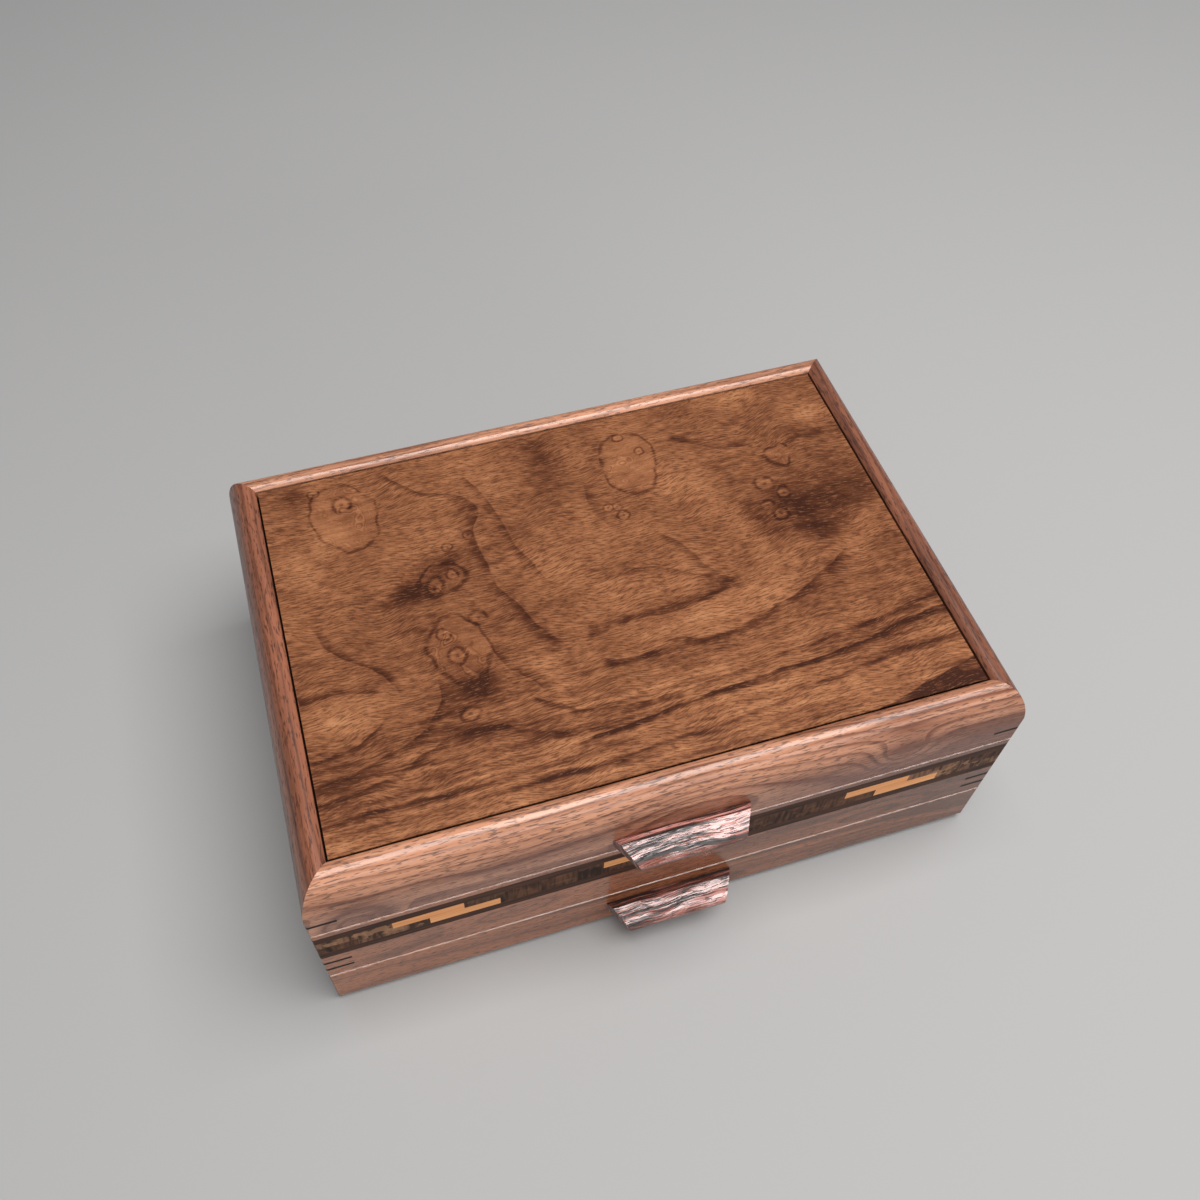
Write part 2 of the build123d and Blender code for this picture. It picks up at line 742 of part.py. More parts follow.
def make_case():
    """The case's nodes."""
    blanks = [mitred(case_wall_profile(drawer_seam, seam_ease), front)]
    for side in sides[1:]:
        blanks.append(mitred(case_wall_profile(wall_foot, foot_round), side))
    keys_middle = (drawer_seam + band_bottom) / 2 + case_key_lift
    keys = corner_keys(keys_middle - key_pitch / 2, blanks)
    keys += corner_keys(keys_middle + key_pitch / 2, blanks)
    runners = [runner(sign) for sign in (-1, 1)]
    floor_groove = tray_floor_groove_block()
    walls = []
    for blank in blanks:
        board = blank - floor_groove - case_bottom_block(0)
        for piece in keys + runners:
            board -= piece
        for place in bottom_screw_places():
            board -= bottom_screw(place, screw_fit)
        walls.append(board)
    for centre in hinge_centres:
        walls[2] -= hinge_pocket(centre)
    bottom = case_bottom_block(board_fit)
    for place in bottom_screw_places():
        bottom -= bottom_screw(place, screw_fit)
    lines, core, tiles, figures = inlay_band()
    long_strips, cross_strips = tray_dividers()
    leaves = [hinge_leaf(centre, False) for centre in hinge_centres]
    places = [place for centre in hinge_centres for place in leaf_screw_places(centre)]
    return {
        "case_front": walls[0],
        "case_right": walls[1],
        "case_back": walls[2],
        "case_left": walls[3],
        "case_splines": group(keys),
        "inlay_lines": group(lines),
        "inlay_core": group(core),
        "inlay_tiles": group(tiles),
        "inlay_figures": group(figures),
        "tray_floor": tray_floor(),
        "tray_floor_lining": tray_floor_lining(),
        "tray_liners": group(tray_liners()),
        "tray_dividers_long": group(long_strips),
        "tray_dividers_cross": group(cross_strips),
        "case_bottom": bottom,
        "bottom_screws": group([bottom_screw(place) for place in bottom_screw_places()]),
        "base_felt": base_felt(),
        "drawer_runners": group(runners),
        "hinge_leaves_case": group(leaves),
        "hinge_screws_case": group([leaf_screw(place, False) for place in places]),
        "hinge_pins": group([hinge_pin(centre) for centre in hinge_centres]),
    }


def make_drawer():
    """The drawer's nodes."""
    wing = pull(drawer_seam - drawer_pull_height)
    bottom = drawer_bottom()
    drawer_front = drawer_front_blank() - wing - bottom
    drawer_sides = []
    for sign in (-1, 1):
        side = drawer_side(sign) - bottom
        drawer_front -= side
        drawer_sides.append(side - drawer_stop(sign, stop_radius + pin_fit))
    return {
        "drawer_front": drawer_front,
        "drawer_side_left": drawer_sides[0],
        "drawer_side_right": drawer_sides[1],
        "drawer_back": drawer_back() - bottom,
        "drawer_bottom": bottom,
        "drawer_lining": drawer_lining(),
        "drawer_dividers": group(drawer_dividers()),
        "drawer_pull": wing,
        "drawer_stops": group([drawer_stop(sign, stop_radius) for sign in (-1, 1)]),
    }


os.makedirs("parts", exist_ok=True)
for name, shape in {**make_lid(), **make_case(), **make_drawer()}.items():
    export_step(shape, "parts/" + name + ".step")
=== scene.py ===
# %% [markdown]
# # A cufflink box with a drawer
# The solids of the box come from its CAD model, already at their real size and place.
# Blender's work is what the eye reads next: the woods, the finish, the suede, and the
# small pieces, such as screws, that need more shape than the CAD gives them.
#
# Every length below is in metres, because the model is, unless a name says otherwise.

# %% Load the box
import json
import math

import bmesh
import bpy
from mathutils import Matrix, Vector


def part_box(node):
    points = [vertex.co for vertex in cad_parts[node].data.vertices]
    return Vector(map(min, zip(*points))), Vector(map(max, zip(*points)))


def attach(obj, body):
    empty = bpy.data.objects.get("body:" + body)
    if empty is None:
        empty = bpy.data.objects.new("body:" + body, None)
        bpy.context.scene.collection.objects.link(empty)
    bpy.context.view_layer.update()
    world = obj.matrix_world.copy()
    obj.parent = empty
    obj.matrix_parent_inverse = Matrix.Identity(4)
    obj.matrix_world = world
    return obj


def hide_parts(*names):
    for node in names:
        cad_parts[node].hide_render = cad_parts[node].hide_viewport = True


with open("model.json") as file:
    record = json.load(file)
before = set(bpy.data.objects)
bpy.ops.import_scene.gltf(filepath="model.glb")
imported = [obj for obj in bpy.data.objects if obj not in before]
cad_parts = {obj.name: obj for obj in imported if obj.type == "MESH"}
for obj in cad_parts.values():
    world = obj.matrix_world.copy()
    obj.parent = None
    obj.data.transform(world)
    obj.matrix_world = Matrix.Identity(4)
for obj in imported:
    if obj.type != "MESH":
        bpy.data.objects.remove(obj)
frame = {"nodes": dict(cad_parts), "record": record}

nodes = frame["nodes"]
scene = bpy.context.scene
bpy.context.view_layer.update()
print("pieces in the CAD model:", len(nodes))

# %% [markdown]
# ## The camera
# A camera is placed by where it stands and by three directions: right, up and back.
# These were worked out from the edges of the box, whose corners are square. The picture
# was cropped a little off its middle, and the two shift values say by how much.

# %% Place the camera
look = Vector((0.17485, 0.56483, -0.80647))
right = Vector((0.95796, -0.28683, 0.00681))
up = right.cross(look)

camera = bpy.data.objects.new("camera", bpy.data.cameras.new("camera"))
camera.matrix_world = Matrix((right, up, -look)).transposed().to_4x4()
camera.location = (-0.0884, -0.2320, 0.4466)
camera.data.sensor_width = 36.0
camera.data.lens = 35.33
camera.data.shift_x = 0.0335
camera.data.shift_y = -0.0339
camera.data.clip_start = 0.01
scene.collection.objects.link(camera)
scene.camera = camera
print("camera height in mm:", round(1000 * camera.location.z))

# %% [markdown]
# ## Light
# The bright lines on the rounded edges tell where the lamps are. A surface mirrors a lamp
# where it leans half-way between the lamp and the eye. Along the front rail the whole
# crest shines, from level to a third of the way over, so the main lamp is a large softbox
# overhead. It ends a little behind the box: any further, and the flat panel would mirror
# it too. A long strip low in front draws the thin bright lines at the seams, and a painted
# highlight under each seam adds to them. The world adds soft light from all round.

# %% Hang the lamps
def lamp(name, place, target, size, power, tint=(1.0, 1.0, 1.0)):
    """A rectangular lamp that faces a point, with its first side along the box."""
    data = bpy.data.lights.new(name, "AREA")
    data.shape = "RECTANGLE"
    data.size, data.size_y = size
    data.energy = power
    data.color = tint
    light = bpy.data.objects.new(name, data)
    back = (Vector(place) - Vector(target)).normalized()
    side = (Vector((1, 0, 0)) - back * back.x).normalized()
    light.matrix_world = Matrix((side, back.cross(side), back)).transposed().to_4x4()
    light.location = place
    scene.collection.objects.link(light)


warm = (1.0, 0.985, 0.97)
lamp("softbox_overhead", (0.28, -0.20, 1.35), (0.28, -0.1, 0.09), (1.2, 0.85), 22.5, warm)
lamp("strip_low", (0.33, -1.45, 0.54), (0.33, -0.09, 0.05), (1.3, 0.14), 5.2, warm)

# %% [markdown]
# The floor is pale and plain. The world round it is a soft grey, which adds a little light
# from every side and keeps the shadows open.

# %% Make the floor and the world
floor_paint = bpy.data.materials.new("pale_floor")
floor_paint.use_nodes = True
paint = floor_paint.node_tree.nodes["Principled BSDF"].inputs
paint["Base Color"].default_value = (0.43, 0.43, 0.43, 1)
paint["Roughness"].default_value = 0.9

floor_mesh = bpy.data.meshes.new("floor")
reach = 6.0
floor_corners = [(-reach, -reach, 0), (reach, -reach, 0), (reach, reach, 0), (-reach, reach, 0)]
floor_mesh.from_pydata(floor_corners, [], [(0, 1, 2, 3)])
floor = bpy.data.objects.new("floor", floor_mesh)
floor_mesh.materials.append(floor_paint)
scene.collection.objects.link(floor)

world = bpy.data.worlds.new("soft_surroundings")
world.use_nodes = True
sky = world.node_tree.nodes["Background"].inputs
sky["Color"].default_value = (0.80, 0.81, 0.83, 1)
sky["Strength"].default_value = 0.22
scene.world = world
scene.view_settings.view_transform = "Standard"

# %% [markdown]
# ## Writing materials as recipes
# A material is a tree of small nodes. Joining them by hand in code is long, so this class
# gives each common step one short call. Every recipe reads Object coordinates, which are
# metres on the box itself, so a grain stays on its board when the lid opens.

# %% A class for material recipes
def srgb(red, green, blue):
    """A colour picked on a screen, 0 to 255, as the linear numbers that shaders use."""
    linear = [c / 12.92 if c <= 0.04045 else ((c + 0.055) / 1.055) ** 2.4
              for c in (red / 255, green / 255, blue / 255)]
    return (*linear, 1.0)


class Recipe:
    """One material, written as calls that each add a node and return its output."""

    def __init__(self, name, roughness=0.4, gloss=0.5, metallic=0.0):
        self.material = bpy.data.materials.new(name)
        self.material.use_nodes = True
        self.tree = self.material.node_tree
        self.shader = self.tree.nodes["Principled BSDF"]
        self.preset({"Roughness": roughness, "Specular IOR Level": gloss, "Metallic": metallic})
        self.place = self.add("ShaderNodeTexCoord").outputs["Object"]

    def preset(self, constants):
        for label, value in constants.items():
            self.shader.inputs[label].default_value = value

    def add(self, kind, inputs=None, **settings):
        """A node with its settings, and its inputs given as numbers or as other outputs."""
        node = self.tree.nodes.new(kind)
        for key, value in settings.items():
            setattr(node, key, value)
        for key, value in (inputs or {}).items():
            self.feed(node.inputs[key], value)
        return node

    def feed(self, socket, value):
        """Links an output to a socket, or sets the socket to a plain value."""
        if isinstance(value, bpy.types.NodeSocket):
            self.tree.links.new(value, socket)
        else:
            socket.default_value = value

    def math(self, operation, *values):
        return self.add("ShaderNodeMath", dict(enumerate(values)), operation=operation).outputs[0]

    def times(self, first, second):
        return self.math("MULTIPLY", first, second)

    def plus(self, base, value, amount):
        """The base with so much of a value added to it."""
        return self.math("MULTIPLY_ADD", value, amount, base)

    def vary(self, base, noise, amount):
        """The base pushed up and down by noise, which is 0.5 in its middle."""
        return self.plus(base, self.math("SUBTRACT", noise, 0.5), amount)

    def vector(self, operation, *values):
        node = self.add("ShaderNodeVectorMath", dict(enumerate(values)), operation=operation)
        return node.outputs["Value" if operation in ("DOT_PRODUCT", "LENGTH") else "Vector"]

    def stretch(self, vector, amounts):
        return self.vector("MULTIPLY", vector, amounts)

    def split(self, vector):
        return self.add("ShaderNodeSeparateXYZ", {0: vector}).outputs

    def join(self, x=0.0, y=0.0, z=0.0):
        return self.add("ShaderNodeCombineXYZ", {0: x, 1: y, 2: z}).outputs[0]

    def noise(self, vector, scale=1.0, detail=2.0, rough=0.5, out="Fac"):
        values = {"Vector": vector, "Scale": scale, "Detail": detail, "Roughness": rough}
        return self.add("ShaderNodeTexNoise", values).outputs[out]

    def noise_along(self, number, scale, detail=2.0, rough=0.5):
        """Noise of one number, which makes uneven bands wherever that number is level."""
        values = {"W": number, "Scale": scale, "Detail": detail, "Roughness": rough}
        return self.add("ShaderNodeTexNoise", values, noise_dimensions="1D").outputs["Fac"]

    def fade(self, value, start, end, low=0.0, high=1.0):
        """A smooth step from low to high as the value goes from start to end."""
        values = {"Value": value, "From Min": start, "From Max": end, "To Min": low, "To Max": high}
        node = self.add("ShaderNodeMapRange", values, interpolation_type="SMOOTHSTEP")
        return node.outputs["Result"]

    def wander(self, vector, scale, reach, detail=2.0):
        """The vector pushed about by smooth noise, by up to about a third of reach."""
        colours = self.noise(vector, scale, detail, out="Color")
        push = self.vector("SUBTRACT", colours, (0.5, 0.5, 0.5))
        return self.vector("MULTIPLY_ADD", push, (reach, reach, reach), vector)

    def blend(self, amount, first, second):
        node = self.add("ShaderNodeMix", data_type="RGBA")
        for index, value in zip((0, 6, 7), (amount, first, second)):
            self.feed(node.inputs[index], value)
        return node.outputs[2]

    def colours(self, value, *stops):
        """A colour ramp: each stop is a position and a colour."""
        node = self.add("ShaderNodeValToRGB", {0: value})
        elements = node.color_ramp.elements
        while len(elements) < len(stops):
            elements.new(0.5)
        for element, (position, colour) in zip(elements, stops):
            element.position = position
            element.color = colour
        return node.outputs[0]

    def spot(self, vector, centre, size, turn=0.0):
        """Squared distance from an oval's centre, which is 1 on the oval's edge."""
        values = {"Vector": vector, "Location": (*centre, 0), "Scale": (*size, 1),
                  "Rotation": (0, 0, math.radians(turn))}
        q = self.add("ShaderNodeMapping", values, vector_type="TEXTURE").outputs[0]
        return self.vector("DOT_PRODUCT", q, q)

    def oval(self, x, y, centre, size, turn=0.0):
        """The same for two plain numbers, in arithmetic alone."""
        c, s = math.cos(math.radians(turn)), math.sin(math.radians(turn))
        u = self.math("MULTIPLY_ADD", y, s / size[0], -(centre[0] * c + centre[1] * s) / size[0])
        u = self.math("MULTIPLY_ADD", x, c / size[0], u)
        v = self.math("MULTIPLY_ADD", y, c / size[1], (centre[0] * s - centre[1] * c) / size[1])
        v = self.math("MULTIPLY_ADD", x, -s / size[1], v)
        return self.math("MULTIPLY_ADD", u, u, self.math("MULTIPLY", v, v))

    def mound(self, squared):
        """A smooth hill, 1 at a spot's centre and almost 0 at twice its size."""
        return self.math("EXPONENT", self.math("MULTIPLY", squared, -1.0))

    def finish(self, colour, height=None, depth=0.0001, roughness=None):
        """Connects the colour, the relief and the roughness, and returns the material."""
        self.feed(self.shader.inputs["Base Color"], colour)
        if roughness is not None:
            self.feed(self.shader.inputs["Roughness"], roughness)
        if height is not None:
            values = {"Height": height, "Distance": depth, "Strength": 1.0}
            bump = self.add("ShaderNodeBump", values)
            self.feed(self.shader.inputs["Normal"], bump.outputs["Normal"])
        return self.material


def dress(material, *names):
    """Gives a CAD node one material."""
    for name in names:
        mesh = nodes[name].data
        mesh.materials.clear()
        mesh.materials.append(material)


# %% [markdown]
# ## Walnut boards
# A board shows its tree. The rings are long tubes round the heart, and a saw cut through
# them makes the arches on a face and the stripes on an edge. So the recipe works out how
# far each point is from a heart line beside the board, and the rings follow from that
# one number. It fits every face of a board, with no unwrapping, and two boards that meet
# at a mitre each keep their own direction.
#
# The open pores are much finer: dark flecks, a few millimetres long, stretched along the
# grain. They are cut into the surface a little too, which breaks up the shine. Just below
# a seam a thin pale strip is painted in. It is a painted highlight, for the thin bright
# line that the eased edge shows there. A rail's top is painted lighter and its side darker,
# and some fronts are painted darker towards the right: this is painted light and shade.

# %% Walnut
year_width = 0.0031  # from one ring to the next
lean = 0.03  # how much the heart line leans, per metre along the board
sway_reach = 0.010  # how far the tree is from round
rail_crest, rail_side = 0.090, 0.082  # between these heights a rail turns from top to side


def walnut(name, grain, heart, seed, light, dark, shine, gloss=0.4, arches=(), painted_rail_shade=0.0,
           rings=0.34, painted_shade_right=0.0, edge=None):
    """Oiled walnut with its grain along X or Y, and the heart line at (across, up).

    Each arch is a centre, a size and a lift of the rings. The rest is painted light and
    shade: a rail's top is painted lighter and its side darker, a board is painted darker
    towards the right by so much per metre, and a painted highlight lies just below the
    seam whose height is edge.
    """
    r = Recipe(name, roughness=shine, gloss=gloss)
    x, y, z = r.split(r.place)
    board = r.place if grain == "X" else r.join(y, x, z)
    sample = r.vector("ADD", board, (seed, 1.7 * seed, 0.6 * seed))

    # How far from the heart, with the heart line leaning and the tree not quite round.
    sway = r.noise(r.stretch(sample, (9, 26, 26)), detail=2)
    along, across, height = r.split(board)
    a = r.math("SUBTRACT", across, heart[0])
    b = r.math("SUBTRACT", height, heart[1])
    radius = r.math("SQRT", r.math("ADD", r.times(a, a), r.times(b, b)))
    radius = r.plus(radius, along, lean)
    radius = r.plus(radius, sway, sway_reach)
    for centre, size, lift in arches:
        hill = r.mound(r.spot(r.join(along, height), centre, size))
        radius = r.plus(radius, hill, lift)

    # Each ring darkens slowly outwards and ends in a fine line.
    year = r.math("FRACT", r.math("DIVIDE", radius, year_width))
    late = r.times(r.fade(year, 0.5, 0.94), r.fade(year, 1.0, 0.95))
    broad = r.noise_along(radius, 190, detail=1)
    tone = r.plus(r.plus(1.10, broad, -1.2), late, rings)
    streaks = r.noise(r.stretch(sample, (22, 620, 620)), detail=3, rough=0.7)
    tone = r.vary(tone, streaks, 1.1)
    clouds = r.noise(r.stretch(sample, (24, 60, 60)), detail=2)
    tone = r.vary(tone, clouds, 1.0)
    # Painted light and shade: the top of a rail is lighter and its side darker, as light falls on the
    # rounded edge.
    tone = r.math("ADD", r.fade(z, rail_crest, rail_side, -0.6 * painted_rail_shade, painted_rail_shade), tone)
    # Painted shade: the wood is darker towards the right, where less light reaches it.
    tone = r.plus(tone, x, painted_shade_right)
    colour = r.colours(tone, (0.05, srgb(*light)), (1.1, srgb(*dark)))

    pores = r.noise(r.stretch(sample, (260, 1900, 1900)), detail=1.5, rough=0.6)
    pore = r.fade(pores, 0.53, 0.64)
    shadow = srgb(dark[0] * 0.5, dark[1] * 0.45, dark[2] * 0.42)
    colour = r.blend(r.times(pore, 0.66), colour, shadow)
    if edge:
        # A painted highlight: the pale strip begins 0.8 mm below the seam and ends just short of it.
        highlight_below = r.fade(z, edge - 0.0008, edge - 0.0005)
        highlight_above = r.fade(z, edge - 0.00002, edge - 0.0001)
        seam_highlight = r.times(highlight_below, highlight_above)
        colour = r.blend(r.times(seam_highlight, 0.55), colour, srgb(240, 198, 180))
    swell = r.noise(r.stretch(sample, (190, 1500, 1500)), detail=1)
    height = r.plus(r.times(swell, 0.5), pore, -0.6)
    return r.finish(colour, height, 0.000014, r.plus(shine, pore, 0.12))


pink, pink_dark = (172, 109, 76), (104, 60, 38)
bright, bright_dark = (212, 150, 116), (118, 62, 34)
red, red_dark = (162, 101, 75), (92, 53, 38)
deep, deep_dark = (142, 88, 65), (78, 44, 32)
front_arches = [
    ((-0.112, 0.070), (0.013, 0.010), 0.010),
    ((0.080, 0.082), (0.012, 0.009), 0.009),
    ((0.010, 0.086), (0.03, 0.012), -0.004),
]
case_arches = [((-0.060, 0.039), (0.016, 0.005), 0.005), ((0.085, 0.034), (0.024, 0.008), -0.005)]
# The lid's rails carry a painted shade: lighter on top, darker on the side.
rails = dict(shine=0.34, painted_rail_shade=0.32)
# The seam heights here place the painted highlight just under each seam.
wall_finish = dict(shine=0.14, edge=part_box("case_front")[1][2])
drawer_finish = dict(shine=0.14, edge=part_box("drawer_front")[1][2])

# Each board is its CAD node, its grain, its heart line, its seed, its colours and the rest.
# Some fronts are painted darker towards the right, a painted shade.
boards = [
    ("lid_rail_front", "X", (-0.125, 0.070), 1.3, bright, bright_dark,
     dict(gloss=0.85, arches=front_arches, rings=0.40, painted_shade_right=1.3, **rails)),
    ("lid_rail_back", "X", (0.120, 0.088), 4.1, bright, bright_dark, dict(gloss=1.0, **rails)),
    ("lid_rail_left", "Y", (-0.160, 0.084), 7.7, red, red_dark, dict(gloss=0.5, **rails)),
    ("lid_rail_right", "Y", (0.165, 0.080), 9.2, deep, deep_dark, dict(gloss=0.5, **rails)),
    ("case_front", "X", (-0.135, 0.036), 2.6, pink, pink_dark,
     dict(arches=case_arches, painted_shade_right=3.0, **wall_finish)),
    ("case_back", "X", (0.130, 0.036), 5.8, pink, pink_dark, wall_finish),
    ("case_left", "Y", (-0.170, 0.035), 6.5, red, red_dark, wall_finish),
    ("case_right", "Y", (0.170, 0.030), 8.3, red, red_dark, wall_finish),
    ("drawer_front", "X", (-0.120, 0.004), 3.4, pink, pink_dark, dict(painted_shade_right=3.0, **drawer_finish)),
]
for node, grain, heart, seed, light, dark, rest in boards:
    name = "walnut_" + node.replace("_rail", "")
    dress(walnut(name, grain, heart, seed, light, dark, **rest), node)
print("walnut boards:", len(boards))

# %% [markdown]
# ## The figured panel
# The lid's veneer is cut near a burl, where buds that never opened bend the grain round
# them. No even pattern gives that, so its figure is drawn from a few lists, as a maker
# would chalk it on paper: the large knots, the pips, which are single buds, the veins,
# where one year's wood stops against the next, and the patches that are lighter or darker.
# All of them are in millimetres, seen from above, with the middle of the lid at 0, 0.

# %% List the knots and the pips
# A knot is its centre, its half sizes and its turn in degrees.
knots = [
    ((-85, 56), (12.5, 16), 15), ((-56, 17.5), (8.5, 7.5), 0), ((-57, -13), (10.5, 14.5), 8),
    ((27.5, 52), (11, 16), -5), ((85.5, 38.5), (6, 5), 0),
]
# A pip is the same.
pips = [
    ((-85, 62), (3.4, 3.8), 0), ((-94.5, 70), (2.2, 1.8), 0), ((-51, 31), (2.0, 1.8), 0),
    ((-42, 34.5), (2.0, 2.0), 0), ((-59.5, 14.5), (3.2, 4.6), -25), ((-52, 18.5), (2.0, 2.4), 30),
    ((-47.5, -2.5), (3.0, 3.0), 0), ((-61, -6), (2.6, 2.4), 0), ((-58.5, -16), (3.2, 3.4), 0),
    ((-53.5, -27), (2.8, 2.4), 0), ((-59.5, -39.5), (3.6, 2.8), 10), ((33, 56), (1.9, 1.9), 0),
    ((27, 65), (2.2, 1.8), 0), ((12.5, 32), (2.0, 2.0), 0), ((16, 31.5), (2.0, 1.8), 0),
    ((17, 27), (2.4, 2.4), 0), ((85.5, 38.5), (1.6, 1.4), 0), ((74.5, 26.5), (3.8, 3.4), -30),
    ((80, 20.5), (2.6, 3.2), -30), ((71.5, 16), (2.8, 2.6), 0), ((75, 11), (3.0, 3.0), 0),
]
print(len(knots), "knots and", len(pips), "pips")

# %% List the veins
# A vein runs mostly along X or along Y, through the points of its other coordinate. Then
# comes how far its shade spreads, with a sign for the side, and how dark it is.
veins = [
    ("Y", [(75, -69), (67, -62), (60, -55), (56, -46), (51, -38.5), (45, -36), (37, -39.5), (28, -40),
           (18, -38.5), (8, -37), (-1, -32), (-11, -28.5), (-18, -24), (-23, -15)], -7, 0.32),
    ("Y", [(66, -39), (54, -33), (40, -29), (26, -26.5), (18, -23), (9, -20.5), (2, -14)], -6, 0.30),
    ("Y", [(12, -109), (7, -104), (0, -102), (-8, -94.5), (-14, -87), (-21, -82), (-27, -80)], 6, 0.34),
    ("Y", [(-14, -46), (-20, -45), (-27, -41), (-33, -36), (-39, -32)], 7, 0.42),
    ("Y", [(-22, -67), (-30, -67), (-36, -71), (-41, -77)], 5, 0.30),
    ("Y", [(47, 7), (34, 6), (27, 8.5), (22, 12)], 7, 0.26),
    ("Y", [(20, 24), (14, 28), (9, 33), (1, 37), (-8, 41)], -8, 0.28),
    ("X", [(-40, -38), (-30, -44), (-14, -50.5), (6, -51.5), (30, -49.5), (55, -46.5),
           (90, -42.5), (115, -38)], -5, 0.40),
    ("X", [(-115, -52.5), (-100, -50), (-85, -46), (-72, -39)], -6, 0.42),
    ("X", [(-115, -58), (-95, -56), (-76, -49), (-60, -45), (-44, -50), (-20, -57),
           (0, -57.5)], -6, 0.36),
    ("X", [(-30, -61), (0, -57.5), (33, -54), (66, -52), (83, -49), (100, -46),
           (115, -44)], -4.5, 0.80),
    ("X", [(-115, -20), (-102, -19.5), (-91, -21.5), (-86, -25)], 6, 0.40),
    ("X", [(-115, -42.5), (-105, -42), (-94, -38), (-86, -32)], -5, 0.42),
    ("X", [(-14, -25), (-8, -21), (4, -19), (17, -19.5), (33, -17.5), (50, -14.5)], 9, 0.40),
    ("X", [(-12, -28), (-5, -33), (10, -33), (17, -30.5), (27, -33.5), (50, -30), (67, -24),
           (83, -16), (93, -11)], -9, 0.42),
    ("X", [(45, 58), (54, 54), (63, 49), (71, 47), (79, 45.5)], 8, 0.36),
    ("X", [(88, 42), (94, 46.5), (101, 48), (115, 47)], -8, 0.30),
    ("X", [(-6, 8), (10, 3), (22, 0), (34, -6), (48, -12)], -8, 0.24),
    ("X", [(60, -79), (75, -77), (93, -72.5), (115, -67.5)], -30, 0.75),
    ("X", [(-60, -70), (-20, -69), (30, -66), (70, -60), (115, -56)], -4, 0.34),
    ("X", [(-115, -66), (-80, -65), (-40, -68), (0, -71)], -5, 0.30),
]
print("veins:", len(veins))

# %% List the patches
# A patch is its centre, its half sizes, its turn, and how much lighter it is.
patches = [
    ((-60, 5), (34, 38), 15, -0.14), ((80, 12), (15, 12), -15, -0.42), ((108, 14), (18, 8), 0, -0.30),
    ((64, 15), (4, 11), 10, -0.25), ((88, -1), (10, 5), -10, -0.30), ((-55, -31), (9, 6), 15, -0.45),
    ((-69, 14), (8, 3.6), 12, -0.52), ((-101, 70), (7, 5), 20, -0.35), ((-6, 62), (9, 26), 0, -0.24),
    ((-60, -46), (10, 4), 0, -0.34), ((-27, -19), (5, 5), 0, -0.20), ((-52, 24), (9, 3), 0, -0.24),
    ((-98, -31), (14, 8), 0, 0.26), ((40, -24), (34, 4.5), 8, 0.28), ((60, 12), (10, 16), 20, 0.18),
    ((40, 40), (14, 8), 40, 0.12), ((100, -6), (14, 7), 40, 0.28), ((-98, 40), (18, 14), 0, 0.16),
    ((104, 56), (14, 5), 0, 0.24), ((10, -60), (60, 3), 3, 0.18), ((78, 74), (14, 4), 0, 0.26),
    ((-6, 14), (14, 18), 0, 0.12), ((60, -66), (50, 4), 4, 0.20), ((-90, -74), (30, 6), 0, 0.18),
    ((-30, -26), (5, 10), 25, 0.18), ((-43, 60), (14, 8), 0, 0.12), ((-10, -48), (30, 3), -4, 0.16),
    ((-64, 36), (12, 6), 0, 0.10), ((-88, -56), (34, 22), 0, -0.17), ((102, 0), (38, 90), 0, -0.13),
]
print("patches:", len(patches))

# %% [markdown]
# A vein is one curve with a hard side and a soft side. The wood is darkest at the line
# and pales away from it, until the next year begins. A Float Curve node holds the line: it
# turns the place along the vein into the place across it, and what is left is how far a
# point lies to one side.

# %% Draw one vein
panel_end = 114  # a vein that comes this far runs off the panel
taper = 4.0  # over this length any other end of a vein fades
cut = 0.1  # and over this length one that runs off


def vein(r, x, y, axis, points, reach):
    """How dark a vein makes each point, from 0 to 1."""
    along, across = (x, y) if axis == "X" else (y, x)
    points = sorted(points)
    start, end = points[0][0], points[-1][0]
    low, high = min(p[1] for p in points) - 1, max(p[1] for p in points) + 1
    share = r.plus(-start / (end - start), along, 1 / (end - start))
    curve = r.add("ShaderNodeFloatCurve", {"Value": share})
    line = curve.mapping.curves[0].points
    while len(line) < len(points):
        line.new(0.5, 0.5)
    for knob, (a, b) in zip(line, points):
        knob.location = ((a - start) / (end - start), (b - low) / (high - low))
    curve.mapping.update()
    path = r.plus(low, curve.outputs[0], high - low)
    off = r.times(r.math("SUBTRACT", across, path), math.copysign(1, reach))
    soft = r.fade(off, abs(reach), 0.0)
    edge = r.times(r.fade(off, -0.6, 0.2), r.times(soft, soft))
    first = r.fade(along, start, start + (taper if start > -panel_end else cut))
    last = r.fade(along, end, end - (taper if end < panel_end else cut))
    return r.times(edge, r.times(first, last))


# %% [markdown]
# The veneer then puts it all together. One number, the tone, collects everything that
# makes the wood lighter or darker, and a colour ramp turns it into browns at the end.
# Fine flecks lie over that. They follow the grain, which bends a little from place to
# place, and they stay out of the knots, where the fibres stand on end.

